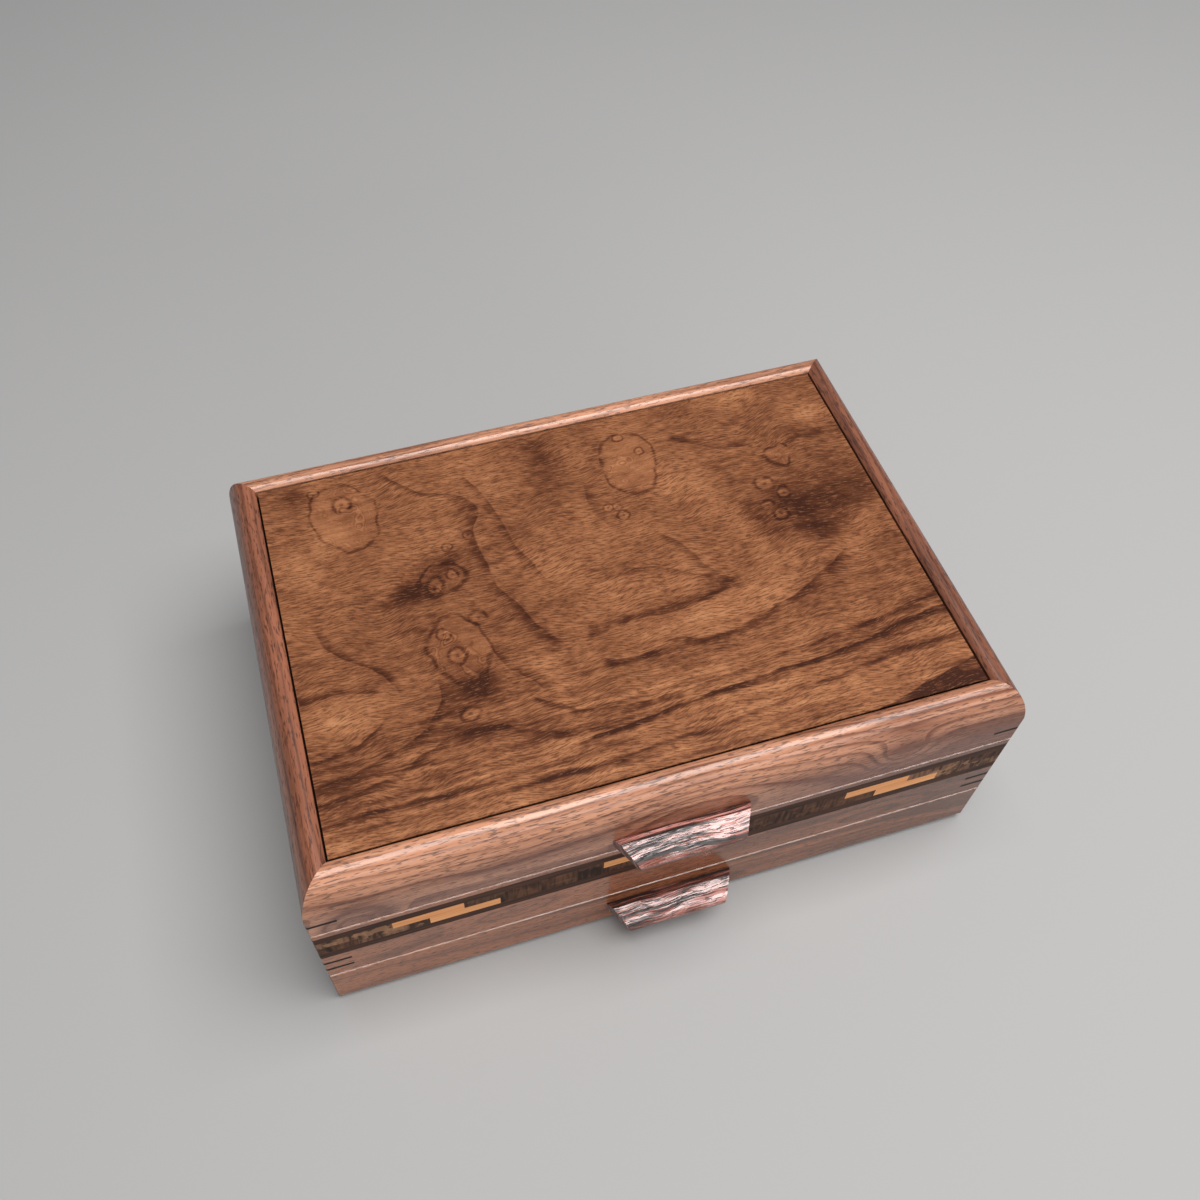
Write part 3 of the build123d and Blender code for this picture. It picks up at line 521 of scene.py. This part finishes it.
# %% Figured veneer
def figured_veneer(name):
    """Polished walnut veneer with knots, in millimetres on the lid."""
    r = Recipe(name, roughness=0.2, gloss=0.3)
    flat = r.stretch(r.place, (1000, 1000, 0))
    near = r.wander(flat, 1 / 11, 3.6, detail=2)
    x, y, _ = r.split(near)

    # Soft tone: clouds everywhere, and long streaks that grow towards the front.
    patched = 0.0
    for centre, size, turn, lift in patches:
        patched = r.plus(patched, r.mound(r.oval(x, y, centre, size, turn)), lift)
    clouds = r.noise(flat, 1 / 22, 3, 0.55)
    tone = r.math("ADD", patched, 0.54)
    tone = r.vary(tone, clouds, 0.75)
    blotch = r.noise(r.stretch(near, (1 / 9, 1 / 3.6, 0)), 1.0, 3, 0.6)
    tone = r.vary(tone, blotch, 0.60)
    long = r.noise(r.stretch(near, (1 / 60, 1 / 2.4, 0)), 1.0, 3, 0.6)
    front_share = r.fade(y, -20, -55, 0.35, 1.0)
    long = r.times(r.math("SUBTRACT", long, 0.5), front_share)
    tone = r.plus(tone, long, 1.5)

    # Veins, which are broken here and there.
    broken = r.fade(r.noise(flat, 1 / 9, 1), 0.35, 0.6, 0.45, 1.0)
    dark = 0.0
    for axis, points, reach, depth in veins:
        dark = r.plus(dark, vein(r, x, y, axis, points, reach), depth)
    tone = r.plus(tone, r.times(dark, broken), -1.0)

    # Knots: a thin outline, drawn only in part, round swirling wood.
    drawn = r.fade(r.noise(flat, 1 / 6, 1), 0.36, 0.52, 0.15, 1.0)
    inside = 0.0
    outline = 0.0
    knot_x, knot_y, _ = r.split(r.wander(near, 1 / 8, 5.0, detail=1))
    for centre, size, turn in knots:
        away = r.math("SQRT", r.oval(knot_x, knot_y, centre, size, turn))
        inside = r.math("MAXIMUM", r.fade(away, 1.0, 0.8), inside)
        off = r.math("ABSOLUTE", r.math("SUBTRACT", away, 1.0))
        outline = r.math("MAXIMUM", r.fade(off, 1.1 / min(size), 0.0), outline)
    tone = r.plus(tone, r.times(outline, drawn), -0.30)
    swirl = r.noise_along(r.noise(near, 1 / 7, 1), 22, 1)
    swirl = r.times(r.math("SUBTRACT", swirl, 0.5), inside)
    tone = r.plus(tone, swirl, 0.45)

    # Pips: the nearest one draws a ring round a dark eye.
    closest = 9.0
    tight_x, tight_y, _ = r.split(r.wander(flat, 1 / 2.5, 1.3, detail=1))
    for centre, size, turn in pips:
        closest = r.math("MINIMUM", r.oval(tight_x, tight_y, centre, size, turn), closest)
    ring = r.math("SQRT", closest)
    rim = r.fade(r.math("ABSOLUTE", r.math("SUBTRACT", ring, 1.0)), 0.36, 0.0)
    tone = r.plus(tone, r.times(rim, drawn), -0.26)
    tone = r.plus(tone, r.fade(ring, 0.9, 0.6), 0.12)
    tone = r.plus(tone, r.fade(ring, 0.32, 0.10), -0.22)

    colour = r.colours(
        tone,
        (0.00, srgb(60, 29, 18)),
        (0.25, srgb(98, 56, 35)),
        (0.50, srgb(135, 85, 56)),
        (0.75, srgb(163, 108, 73)),
        (1.00, srgb(187, 132, 92)),
    )

    # Flecks, and the paler fibres between them. They lie straighter than the figure does.
    calm_x, calm_y, _ = r.split(r.wander(flat, 1 / 18, 4.0, detail=0))
    bend = r.plus(calm_y, r.noise(flat, 1 / 34, 1), 13)
    flecks = r.noise(r.join(r.times(calm_x, 0.26), r.times(bend, 1.9)), 1.0, 3, 0.66)
    quiet = r.math("SUBTRACT", 1.0, r.times(inside, 0.8))
    fleck = r.times(r.fade(flecks, 0.48, 0.60), quiet)
    colour = r.blend(r.times(fleck, 0.62), colour, srgb(62, 33, 19))
    colour = r.blend(r.fade(flecks, 0.46, 0.34, 0.0, 0.24), colour, srgb(200, 142, 102))
    hollows = r.noise(r.stretch(r.place, (300, 2100, 0)), 1.0, 1)
    return r.finish(colour, hollows, 0.000012)


dress(figured_veneer("figured_veneer"), "lid_panel_veneer")

# %% [markdown]
# ## The inlay band
# Four woods meet in the band. Its two dark lines are straight-grained and a deep brown.
# The core between them stands on end, so its grain shows as short upright ribs. The
# brown tiles next to each corner are paler and patchy, and the stepped figures are a
# pink-orange cherry, the brightest thing on the box. The keys in the corners are darker
# than any of them.

# %% Woods of the band
def ribbed_wood(name, light, dark, ribs, patch, pale):
    """Short upright ribs, read along both sides of the box so that it fits every wall."""
    r = Recipe(name, roughness=0.42, gloss=0.05)
    ribbing = r.noise(r.stretch(r.place, (ribs, ribs, 90)), 1.0, 3, 0.6)
    soft = r.noise(r.stretch(r.place, (120, 120, 60)), 1.0, 2)
    tone = r.vary(ribbing, soft, 0.9)
    colour = r.colours(tone, (0.36, srgb(*dark)), (0.66, srgb(*light)))
    blocks = r.noise(r.stretch(r.place, (230, 230, 320)), 1.0, 1)
    colour = r.blend(r.fade(blocks, 0.56, 0.60, 0.0, patch), colour, srgb(*pale))
    return r.finish(colour, ribbing, 0.00005)


def lined_wood(name, light, dark, stretch, shine=0.38, gloss=0.15):
    """Straight grain: noise stretched by different amounts along each axis."""
    r = Recipe(name, roughness=shine, gloss=gloss)
    lines = r.noise(r.stretch(r.place, stretch), 1.0, 4, 0.6)
    colour = r.colours(lines, (0.32, srgb(*dark)), (0.68, srgb(*light)))
    return r.finish(colour, lines, 0.00005)


dress(ribbed_wood("core_wood", (100, 65, 45), (42, 24, 15), 800, 0.30, (124, 88, 66)),
      "inlay_core")
dress(ribbed_wood("tile_wood", (146, 106, 80), (64, 42, 30), 620, 0.55, (178, 134, 100)),
      "inlay_tiles")
for name, light, dark, stretch, *places in [
    ("dark_line_wood", (88, 53, 36), (33, 17, 11), (60, 60, 1500), "inlay_lines"),
    ("cherry", (252, 186, 128), (228, 150, 92), (30, 30, 700), "inlay_figures"),
    ("key_wood", (52, 33, 26), (18, 11, 9), (90, 90, 900), "lid_splines", "case_splines"),
]:
    dress(lined_wood(name, light, dark, stretch, gloss=0.05), *places)

# %% [markdown]
# ## The pulls
# The pulls are cut from a striped ebony and polished until they mirror the lamp. Its
# stripes are layers that lie flat in the wood, a little tilted, so they run along the
# wing and fan out where its face is sloped.

# %% Striped ebony
def striped_ebony(name, seed, tip):
    """Near-black wood with pink-brown streaks along X, redder at the thin tip of the wing."""
    r = Recipe(name, roughness=0.2, gloss=1.0)
    sample = r.vector("ADD", r.place, (seed, 0.0, 0.0))
    bent = r.wander(sample, 30, 0.005, detail=2)
    x, y, z = r.split(bent)
    layer = r.plus(r.times(z, -0.8), y, 1.2)
    layer = r.plus(layer, x, -0.05)

    # Bands that come and go, and fine lines inside them.
    bands = r.noise(r.join(r.times(x, 26), r.times(layer, 420)), 1.0, 2)
    fine = r.noise(r.join(r.times(x, 75), r.times(layer, 2300)), 1.0, 3, 0.65)
    tone = r.vary(bands, fine, 0.9)
    colour = r.colours(
        tone,
        (0.36, srgb(16, 8, 8)),
        (0.44, srgb(62, 30, 26)),
        (0.51, srgb(156, 92, 78)),
        (0.64, srgb(214, 154, 146)),
    )
    cracks = r.noise(r.join(r.times(x, 260), r.times(layer, 2600)), 1.0, 1)
    crack = r.fade(cracks, 0.57, 0.64)
    colour = r.blend(r.times(crack, 0.9), colour, srgb(12, 6, 6))
    colour = r.blend(r.fade(y, tip + 0.0016, tip + 0.0006, 0.0, 0.6), colour, srgb(112, 56, 36))

    # The face was shaped by hand: slow swells in it break the mirrored lamp into streaks.
    swells = r.noise(r.join(r.times(x, 45), r.times(layer, 300)), 1.0, 1)
    height = r.plus(r.plus(swells, fine, 0.05), crack, -0.16)
    rough = r.plus(r.fade(tone, 0.37, 0.50, 0.60, 0.13), crack, 0.2)
    return r.finish(colour, height, 0.0007, rough)


wing_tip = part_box("lid_pull")[0][1]
dress(striped_ebony("striped_ebony_lid", 0.11, wing_tip), "lid_pull")
dress(striped_ebony("striped_ebony_drawer", 0.47, wing_tip), "drawer_pull")

# %% [markdown]
# ## Boards that are hidden or half hidden
# The tray's floor and the bottoms are plain birch-faced board. The panel's board is painted
# almost black, a painted shade, so that the gap round it reads as a dark line of shadow. The
# runners and the stop pins are maple, rubbed with wax because they slide.

# %% Board and maple
dress(lined_wood("birch_board", (206, 170, 124), (176, 136, 92), (14, 260, 600), shine=0.5),
      "tray_floor", "case_bottom", "drawer_bottom")
# Painted shade: the panel's board, seen only in the gap, is near-black.
dress(lined_wood("gap_shade_board", (38, 25, 19), (20, 13, 10), (14, 260, 600), shine=0.6, gloss=0.05),
      "lid_panel_core")
dress(lined_wood("maple", (214, 180, 134), (190, 152, 106), (300, 20, 300), shine=0.35, gloss=0.4),
      "drawer_runners", "drawer_stops")

# %% [markdown]
# ## Eased edges
# The dividers and the drawer's sides leave the CAD model with knife-sharp edges. A real
# maker runs sandpaper along each one, and the thin bright line that this leaves is what
# makes an edge look real. A copy of each piece is cleaned up, its sharp edges are cut
# off by a fraction of a millimetre, and the copy stands in for the CAD piece.

# %% Ease the edges of thin boards
def body_of(node):
    """The moving body that a CAD node belongs to."""
    bodies = frame["record"]["behaviour"]["bodies"]
    return next(name for name, members in bodies.items() if node in members)


def mesh_from(form, name):
    """The form as a mesh, after which the form is done with."""
    mesh = bpy.data.meshes.new(name)
    form.to_mesh(mesh)
    form.free()
    return mesh


def shade(mesh, sharp_from):
    """Smooth shading, except at edges sharper than an angle in radians."""
    mesh.shade_smooth()
    mesh.set_sharp_from_angle(angle=sharp_from)


def add_piece(mesh, name, material, body):
    """A finished mesh as an object that moves with a body."""
    piece = bpy.data.objects.new(name, mesh)
    if material is not None:
        mesh.materials.clear()
        mesh.materials.append(material)
    scene.collection.objects.link(piece)
    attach(piece, body)
    return piece


eased_width = 0.0004  # how much is cut off a sharp edge
same_point = 1e-6  # points closer than this are one
flat_angle = 0.01  # in radians: faces that meet at less lie in one plane
sharp_angle = 0.6  # and faces that meet at more make a sharp edge


def eased(node, material):
    """A copy of a CAD node with every sharp edge cut off, in place of the node."""
    form = bmesh.new()
    form.from_mesh(nodes[node].data)
    bmesh.ops.remove_doubles(form, verts=form.verts, dist=same_point)
    bmesh.ops.dissolve_limit(form, angle_limit=flat_angle, verts=form.verts, edges=form.edges)
    sharp = [e for e in form.edges if e.is_manifold and e.calc_face_angle() > sharp_angle]
    bmesh.ops.bevel(form, geom=sharp, offset=eased_width, segments=2, profile=0.5,
                    affect="EDGES", clamp_overlap=True)
    mesh = mesh_from(form, node + "_eased")
    shade(mesh, 0.9)
    piece = add_piece(mesh, node + "_eased", material, body_of(node))
    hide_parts(node)
    print(node, "eased:", len(sharp), "edges")
    return piece


inside = dict(light=(150, 108, 84), dark=(104, 70, 52), shine=0.4, gloss=0.3)
inside_x = walnut("walnut_inside_x", "X", (0.02, -0.06), 11.0, **inside)
inside_y = walnut("walnut_inside_y", "Y", (0.02, -0.05), 12.0, **inside)
for node, material in [("tray_dividers_long", inside_x), ("tray_dividers_cross", inside_y),
                       ("drawer_dividers", inside_y), ("drawer_side_left", inside_y),
                       ("drawer_side_right", inside_y), ("drawer_back", inside_x)]:
    eased(node, material)

# %% [markdown]
# ## Suede pads
# The tray, the drawer and the lid are lined with suede, glued round thin boards with a
# little wadding. Such a pad is flat in the middle and rolls over at its edges. Each is
# made as a grid of points: near an edge the points crowd together and drop along a
# quarter circle, and a slow ripple keeps the middle from looking like a sheet of metal.

# %% Build a pad
def steps(length, roll, spacing):
    """Positions from 0 to length, crowded near both ends."""
    curl = [roll * (1 - math.cos(math.radians(a))) for a in (0, 20, 40, 60, 75, 90)]
    middle = max(2, round((length - 2 * roll) / spacing))
    inner = [roll + (length - 2 * roll) * i / middle for i in range(1, middle)]
    return curl + inner + [length - c for c in reversed(curl)]


spacing = 0.006  # between the points of a pad's middle
ripple = 0.00008  # how far the soft face rises and falls


def pad(form, low, high, facing, roll):
    """Adds a closed pad to a form, between two corners, with its soft face towards facing."""
    normal = Vector(facing)
    axis = max(range(3), key=lambda i: abs(normal[i]))
    first, second = [i for i in range(3) if i != axis]
    thickness = high[axis] - low[axis]
    across = steps(high[first] - low[first], roll, spacing)
    along = steps(high[second] - low[second], roll, spacing)

    def drop(distance):
        d = min(distance, roll)
        return roll - math.sqrt(max(0.0, roll * roll - (roll - d) ** 2))

    grid = []
    for face in (1, 0):
        rows = []
        for u in across:
            row = []
            for v in along:
                lost = drop(min(u, across[-1] - u)) + drop(min(v, along[-1] - v))
                wave = ripple * (1 + math.sin(90 * u + 2.0) * math.sin(76 * v + u * 40)) / 2
                rise = thickness - min(lost + wave, thickness * 0.8) if face else 0.0
                point = [0.0, 0.0, 0.0]
                point[first] = low[first] + u
                point[second] = low[second] + v
                point[axis] = low[axis] + rise if normal[axis] > 0 else high[axis] - rise
                row.append(form.verts.new(point))
            rows.append(row)
        grid.append(rows)
    top, bottom = grid
    faces = []
    last_u, last_v = len(across) - 1, len(along) - 1
    for rows in (top, bottom):
        for i in range(last_u):
            for j in range(last_v):
                square = (rows[i][j], rows[i + 1][j], rows[i + 1][j + 1], rows[i][j + 1])
                faces.append(form.faces.new(square))
    rim = [(i, 0) for i in range(last_u)] + [(last_u, j) for j in range(last_v)]
    rim += [(i, last_v) for i in range(last_u, 0, -1)] + [(0, j) for j in range(last_v, 0, -1)]
    for (i, j), (k, m) in zip(rim, rim[1:] + rim[:1]):
        faces.append(form.faces.new((top[i][j], top[k][m], bottom[k][m], bottom[i][j])))
    bmesh.ops.recalc_face_normals(form, faces=faces)


def padded_piece(name, node, boards, material):
    """One object made of pads, in place of a CAD node."""
    form = bmesh.new()
    for low, high, facing, roll in boards:
        pad(form, low, high, facing, roll)
    mesh = mesh_from(form, name)
    shade(mesh, 1.2)
    piece = add_piece(mesh, name, material, body_of(node))
    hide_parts(node)
    print(name, "has", len(mesh.polygons), "faces")


# %% [markdown]
# Suede has no shine, but its nap stands up and catches light at the edges, and patches
# where it was brushed the other way look lighter or darker. Sheen gives the first, and
# slow noise in the colour gives the second.

# %% Suede
def suede(name, light, dark, nap=5200.0):
    """Brushed leather or felt. A larger nap has finer fibres."""
    r = Recipe(name, roughness=0.95, gloss=0.15)
    r.preset({"Sheen Weight": 0.5, "Sheen Roughness": 0.4, "Sheen Tint": srgb(170, 150, 135)})
    fibres = r.noise(r.place, nap, 3, 0.7)
    brushed = r.noise(r.stretch(r.place, (34, 60, 34)), 1.0, 3, 0.6)
    tone = r.vary(fibres, brushed, 0.9)
    colour = r.colours(tone, (0.25, srgb(*dark)), (0.80, srgb(*light)))
    return r.finish(colour, fibres, 0.0002)


dark_suede = suede("dark_suede", (84, 66, 56), (46, 35, 30))


# %% Line the lid, the tray and the drawer
pad_roll = 0.0009  # the rounding at the edge of a large pad
liner_roll = 0.0008  # and at the edge of a tray liner
liner = 0.002  # the thickness of a tray liner
liner_gap = 0.0004  # between two liners at a corner of the tray


def corners(node):
    """The two far corners of a CAD node's box."""
    low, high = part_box(node)
    return Vector(low), Vector(high)


for name, node, facing in [("lid_suede_pad", "lid_lining", (0, 0, -1)),
                           ("tray_suede_pad", "tray_floor_lining", (0, 0, 1)),
                           ("drawer_suede_pad", "drawer_lining", (0, 0, 1))]:
    low, high = corners(node)
    padded_piece(name, node, [(low, high, facing, pad_roll)], dark_suede)

low, high = corners("tray_liners")
side_low, side_high = low.y + liner + liner_gap, high.y - liner - liner_gap
walls = [
    ((low.x, low.y), (high.x, low.y + liner), (0, 1, 0)),
    ((low.x, high.y - liner), (high.x, high.y), (0, -1, 0)),
    ((low.x, side_low), (low.x + liner, side_high), (1, 0, 0)),
    ((high.x - liner, side_low), (high.x, side_high), (-1, 0, 0)),
]
liners = [(Vector((*near, low.z)), Vector((*far, high.z)), facing, liner_roll)
          for near, far, facing in walls]
padded_piece("tray_suede_walls", "tray_liners", liners, dark_suede)

# %% [markdown]
# ## Felt foot
# One sheet of felt under the bottom keeps the box from scratching a dresser. Felt is only
# matted fibre, so it is a flat sheet with soft corners and a fuzzy surface.

# %% Lay the felt
corner_radius = 0.004
edge_soft = 0.0002  # the height of the soft edge, above and below
edge_draw = 0.0012  # how far it draws in, as a share of the sheet
draw_y = 0.006  # the point that it draws in to, which is near the middle

low, high = corners("base_felt")
form = bmesh.new()
outline = []
turns = [(high.x, high.y, 0), (low.x, high.y, 90), (low.x, low.y, 180), (high.x, low.y, 270)]
for cx, cy, start in turns:
    mx = cx - math.copysign(corner_radius, cx)
    my = cy - math.copysign(corner_radius, cy)
    for step in range(7):
        a = math.radians(start + 15 * step)
        outline.append((mx + corner_radius * math.cos(a), my + corner_radius * math.sin(a)))
levels = [(edge_draw, low.z), (0.0, low.z + edge_soft), (0.0, high.z - edge_soft), (edge_draw, high.z)]
rings = [
    [form.verts.new((px * (1 - draw), (py - draw_y) * (1 - draw) + draw_y, z)) for px, py in outline]
    for draw, z in levels
]
for lower, upper in zip(rings, rings[1:]):
    for i in range(len(outline)):
        k = (i + 1) % len(outline)
        form.faces.new((lower[i], lower[k], upper[k], upper[i]))
form.faces.new(list(reversed(rings[0])))
form.faces.new(rings[-1])
bmesh.ops.recalc_face_normals(form, faces=form.faces)
felt_material = suede("felt", (66, 58, 54), (36, 31, 29), nap=3000.0)
felt = add_piece(mesh_from(form, "base_felt_sheet"), "base_felt_sheet", felt_material, "case")
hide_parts("base_felt")
print("felt in mm:", round(1000 * (high.x - low.x)), "by", round(1000 * (high.y - low.y)))

# %% [markdown]
# ## Brass
# The hinges are drawn brass, brushed along their length and a little darkened with age.
# A metal has no colour of its own under the reflection, so the variation is put in its
# roughness as much as in its colour.

# %% Brass and steel
def brushed_metal(name, light, dark, stretch, low, high):
    """Metal whose roughness goes from low to high across its brushing."""
    r = Recipe(name, metallic=1.0)
    brushing = r.noise(r.stretch(r.place, stretch), 1.0, 3, 0.6)
    stains = r.noise(r.place, 160, 3, 0.6)
    colour = r.colours(stains, (0.35, srgb(*dark)), (0.65, srgb(*light)))
    return r.finish(colour, brushing, 0.00002, r.fade(brushing, 0.3, 0.7, low, high))


brass = brushed_metal("aged_brass", (214, 178, 106), (178, 138, 74), (60, 3000, 3000), 0.24, 0.42)
steel = brushed_metal("plated_steel", (176, 178, 182), (140, 142, 148), (900, 900, 900), 0.25, 0.4)
dress(brass, "hinge_leaves_lid", "hinge_leaves_case", "hinge_pins")

# %% [markdown]
# ## Screws
# All the screws are one shape at different sizes, repeated at given places, which is what
# Geometry Nodes are for. The tree below turns each point of a small mesh into a screw: a
# cone for the head with its slot cut out, a core that tapers to a point, and a thread,
# which is a three-cornered profile swept along a spiral. Each screw is turned by a random
# angle, as screws are, from a fixed seed.

# %% Build the screw tree
def screw_tree():
    """Points to slotted countersunk screws that point along -Z."""
    tree = bpy.data.node_groups.new("slotted_screws", "GeometryNodeTree")
    face = tree.interface
    face.new_socket("Points", in_out="INPUT", socket_type="NodeSocketGeometry")
    sockets = {}
    for label, value in [("Head radius", 0.0019), ("Shank radius", 0.0009), ("Length", 0.009),
                         ("Slot width", 0.0005), ("Slot depth", 0.0004), ("Thread pitch", 0.0008),
                         ("Flip", 0.0)]:
        socket = face.new_socket(label, in_out="INPUT", socket_type="NodeSocketFloat")
        socket.default_value = value
        sockets[label] = socket.identifier
    metal = face.new_socket("Metal", in_out="INPUT", socket_type="NodeSocketMaterial")
    sockets["Metal"] = metal.identifier
    face.new_socket("Screws", in_out="OUTPUT", socket_type="NodeSocketGeometry")

    def add(kind, inputs=None, **settings):
        node = tree.nodes.new(kind)
        for key, value in settings.items():
            setattr(node, key, value)
        for key, value in (inputs or {}).items():
            if isinstance(value, bpy.types.NodeSocket):
                tree.links.new(value, node.inputs[key])
            else:
                node.inputs[key].default_value = value
        return node

    def math_node(operation, a, b):
        return add("ShaderNodeMath", {0: a, 1: b}, operation=operation).outputs[0]

    def times(a, b):
        return math_node("MULTIPLY", a, b)

    def lifted(geometry, z):
        offset = add("ShaderNodeCombineXYZ", {2: z}).outputs[0]
        return add("GeometryNodeTransform", {"Geometry": geometry, "Translation": offset}).outputs[0]

    def rod(sides, top, bottom, depth):
        """A closed cone or cylinder that stands on its lower end."""
        values = {"Vertices": sides, "Radius Top": top, "Radius Bottom": bottom, "Depth": depth}
        return add("GeometryNodeMeshCone", values, fill_type="NGON").outputs["Mesh"]

    given = add("NodeGroupInput").outputs
    head_r, shank_r, length = given["Head radius"], given["Shank radius"], given["Length"]
    head_h = math_node("SUBTRACT", head_r, shank_r)
    stem_r = times(shank_r, 0.78)
    point_h = times(shank_r, 2.0)
    stem_h = math_node("SUBTRACT", math_node("SUBTRACT", length, point_h), head_h)

    # The head, with its slot cut across the top.
    head = lifted(rod(28, head_r, stem_r, head_h), times(head_h, -1.0))
    slot_length = times(head_r, 3.0)
    slot_height = times(given["Slot depth"], 2.0)
    slot_values = {0: slot_length, 1: given["Slot width"], 2: slot_height}
    slot_size = add("ShaderNodeCombineXYZ", slot_values).outputs[0]
    slot = add("GeometryNodeMeshCube", {"Size": slot_size}).outputs["Mesh"]
    slotted = add("GeometryNodeMeshBoolean", {"Mesh 1": head, "Mesh 2": slot},
                  operation="DIFFERENCE", solver="EXACT").outputs["Mesh"]

    # The core under it, and the point, which ends blunt.
    stem_z = times(math_node("ADD", head_h, stem_h), -1.0)
    stem = lifted(rod(16, stem_r, stem_r, stem_h), stem_z)
    point_z = times(length, -1.0)
    point = lifted(rod(16, stem_r, 0.00002, point_h), point_z)

    # The thread.
    turns = math_node("DIVIDE", stem_h, given["Thread pitch"])
    ridge_r = times(shank_r, 0.84)
    spiral_values = {"Resolution": 14, "Rotations": turns, "Start Radius": ridge_r,
                     "End Radius": ridge_r, "Height": stem_h}
    spiral = add("GeometryNodeCurveSpiral", spiral_values).outputs[0]
    profile_values = {"Resolution": 3, "Radius": times(shank_r, 0.15)}
    profile = add("GeometryNodeCurvePrimitiveCircle", profile_values).outputs[0]
    thread_values = {"Curve": spiral, "Profile Curve": profile, "Fill Caps": True}
    thread = lifted(add("GeometryNodeCurveToMesh", thread_values).outputs[0], stem_z)

    whole = add("GeometryNodeJoinGeometry")
    for part in (slotted, stem, point, thread):
        tree.links.new(part, whole.inputs[0])

    # One screw on each point, turned by its own angle.
    angle = add("FunctionNodeRandomValue", {"Seed": 4}, data_type="FLOAT").outputs[1]
    whole_turn = times(angle, 2 * math.pi)
    turned = add("ShaderNodeCombineXYZ", {0: given["Flip"], 2: whole_turn}).outputs[0]
    place_values = {"Points": given["Points"], "Instance": whole.outputs[0], "Rotation": turned}
    placed = add("GeometryNodeInstanceOnPoints", place_values).outputs[0]
    real = add("GeometryNodeRealizeInstances", {"Geometry": placed}).outputs[0]
    finished = {"Geometry": real, "Material": given["Metal"]}
    add("NodeGroupOutput", {0: add("GeometryNodeSetMaterial", finished).outputs[0]})
    return tree, sockets


screws_tree, screw_inputs = screw_tree()


# %% Drive the screws
def drive_screws(name, node, places, sizes):
    """A set of screws from the tree, as a plain mesh in place of a CAD node."""
    points = bpy.data.meshes.new(name + "_points")
    points.from_pydata(places, [], [])
    holder = bpy.data.objects.new(name + "_points", points)
    scene.collection.objects.link(holder)
    modifier = holder.modifiers.new("screws", "NODES")
    modifier.node_group = screws_tree
    for label, value in sizes.items():
        modifier[screw_inputs[label]] = value
    graph = bpy.context.evaluated_depsgraph_get()
    mesh = bpy.data.meshes.new_from_object(holder.evaluated_get(graph))
    mesh.name = name
    holder.modifiers.remove(modifier)
    bpy.data.objects.remove(holder)
    shade(mesh, 0.7)
    piece = add_piece(mesh, name, None, body_of(node))
    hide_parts(node)
    print(name, "-", len(places), "screws,", len(mesh.polygons), "faces")


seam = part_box("case_front")[1][2]
board_face = 0.001  # the lower face of the bottom board, over the felt
sunk = 0.0001  # every head lies this deep
hinge_x, hinge_y = 0.082, 0.0843  # the middle screw of a hinge
leaf_pitch = 0.010  # between the screws of a leaf
side_x, first_y, side_pitch = 0.1185, -0.0775, 0.03875  # the screws along the sides
back_x, back_y = 0.0385, 0.0805  # the screws along the back
large = {"Head radius": 0.0024, "Shank radius": 0.0012, "Length": 0.012, "Slot width": 0.0006,
         "Slot depth": 0.0006, "Thread pitch": 0.0011}

hinge_rows = [(side * hinge_x + step * leaf_pitch, hinge_y)
              for side in (-1, 1) for step in (-1, 0, 1)]
for body, height, flip in [("lid", seam + sunk, math.pi), ("case", seam - sunk, 0.0)]:
    drive_screws(body + "_hinge_screws", "hinge_screws_" + body,
                 [(x, y, height) for x, y in hinge_rows], {"Flip": flip, "Metal": brass})
under = [(side * side_x, first_y + row * side_pitch) for row in (1, 2, 3) for side in (-1, 1)]
under += [(side * back_x, back_y) for side in (-1, 1)]
drive_screws("bottom_board_screws", "bottom_screws",
             [(x, y, board_face + sunk) for x, y in under],
             {"Flip": math.pi, **large, "Metal": steel})
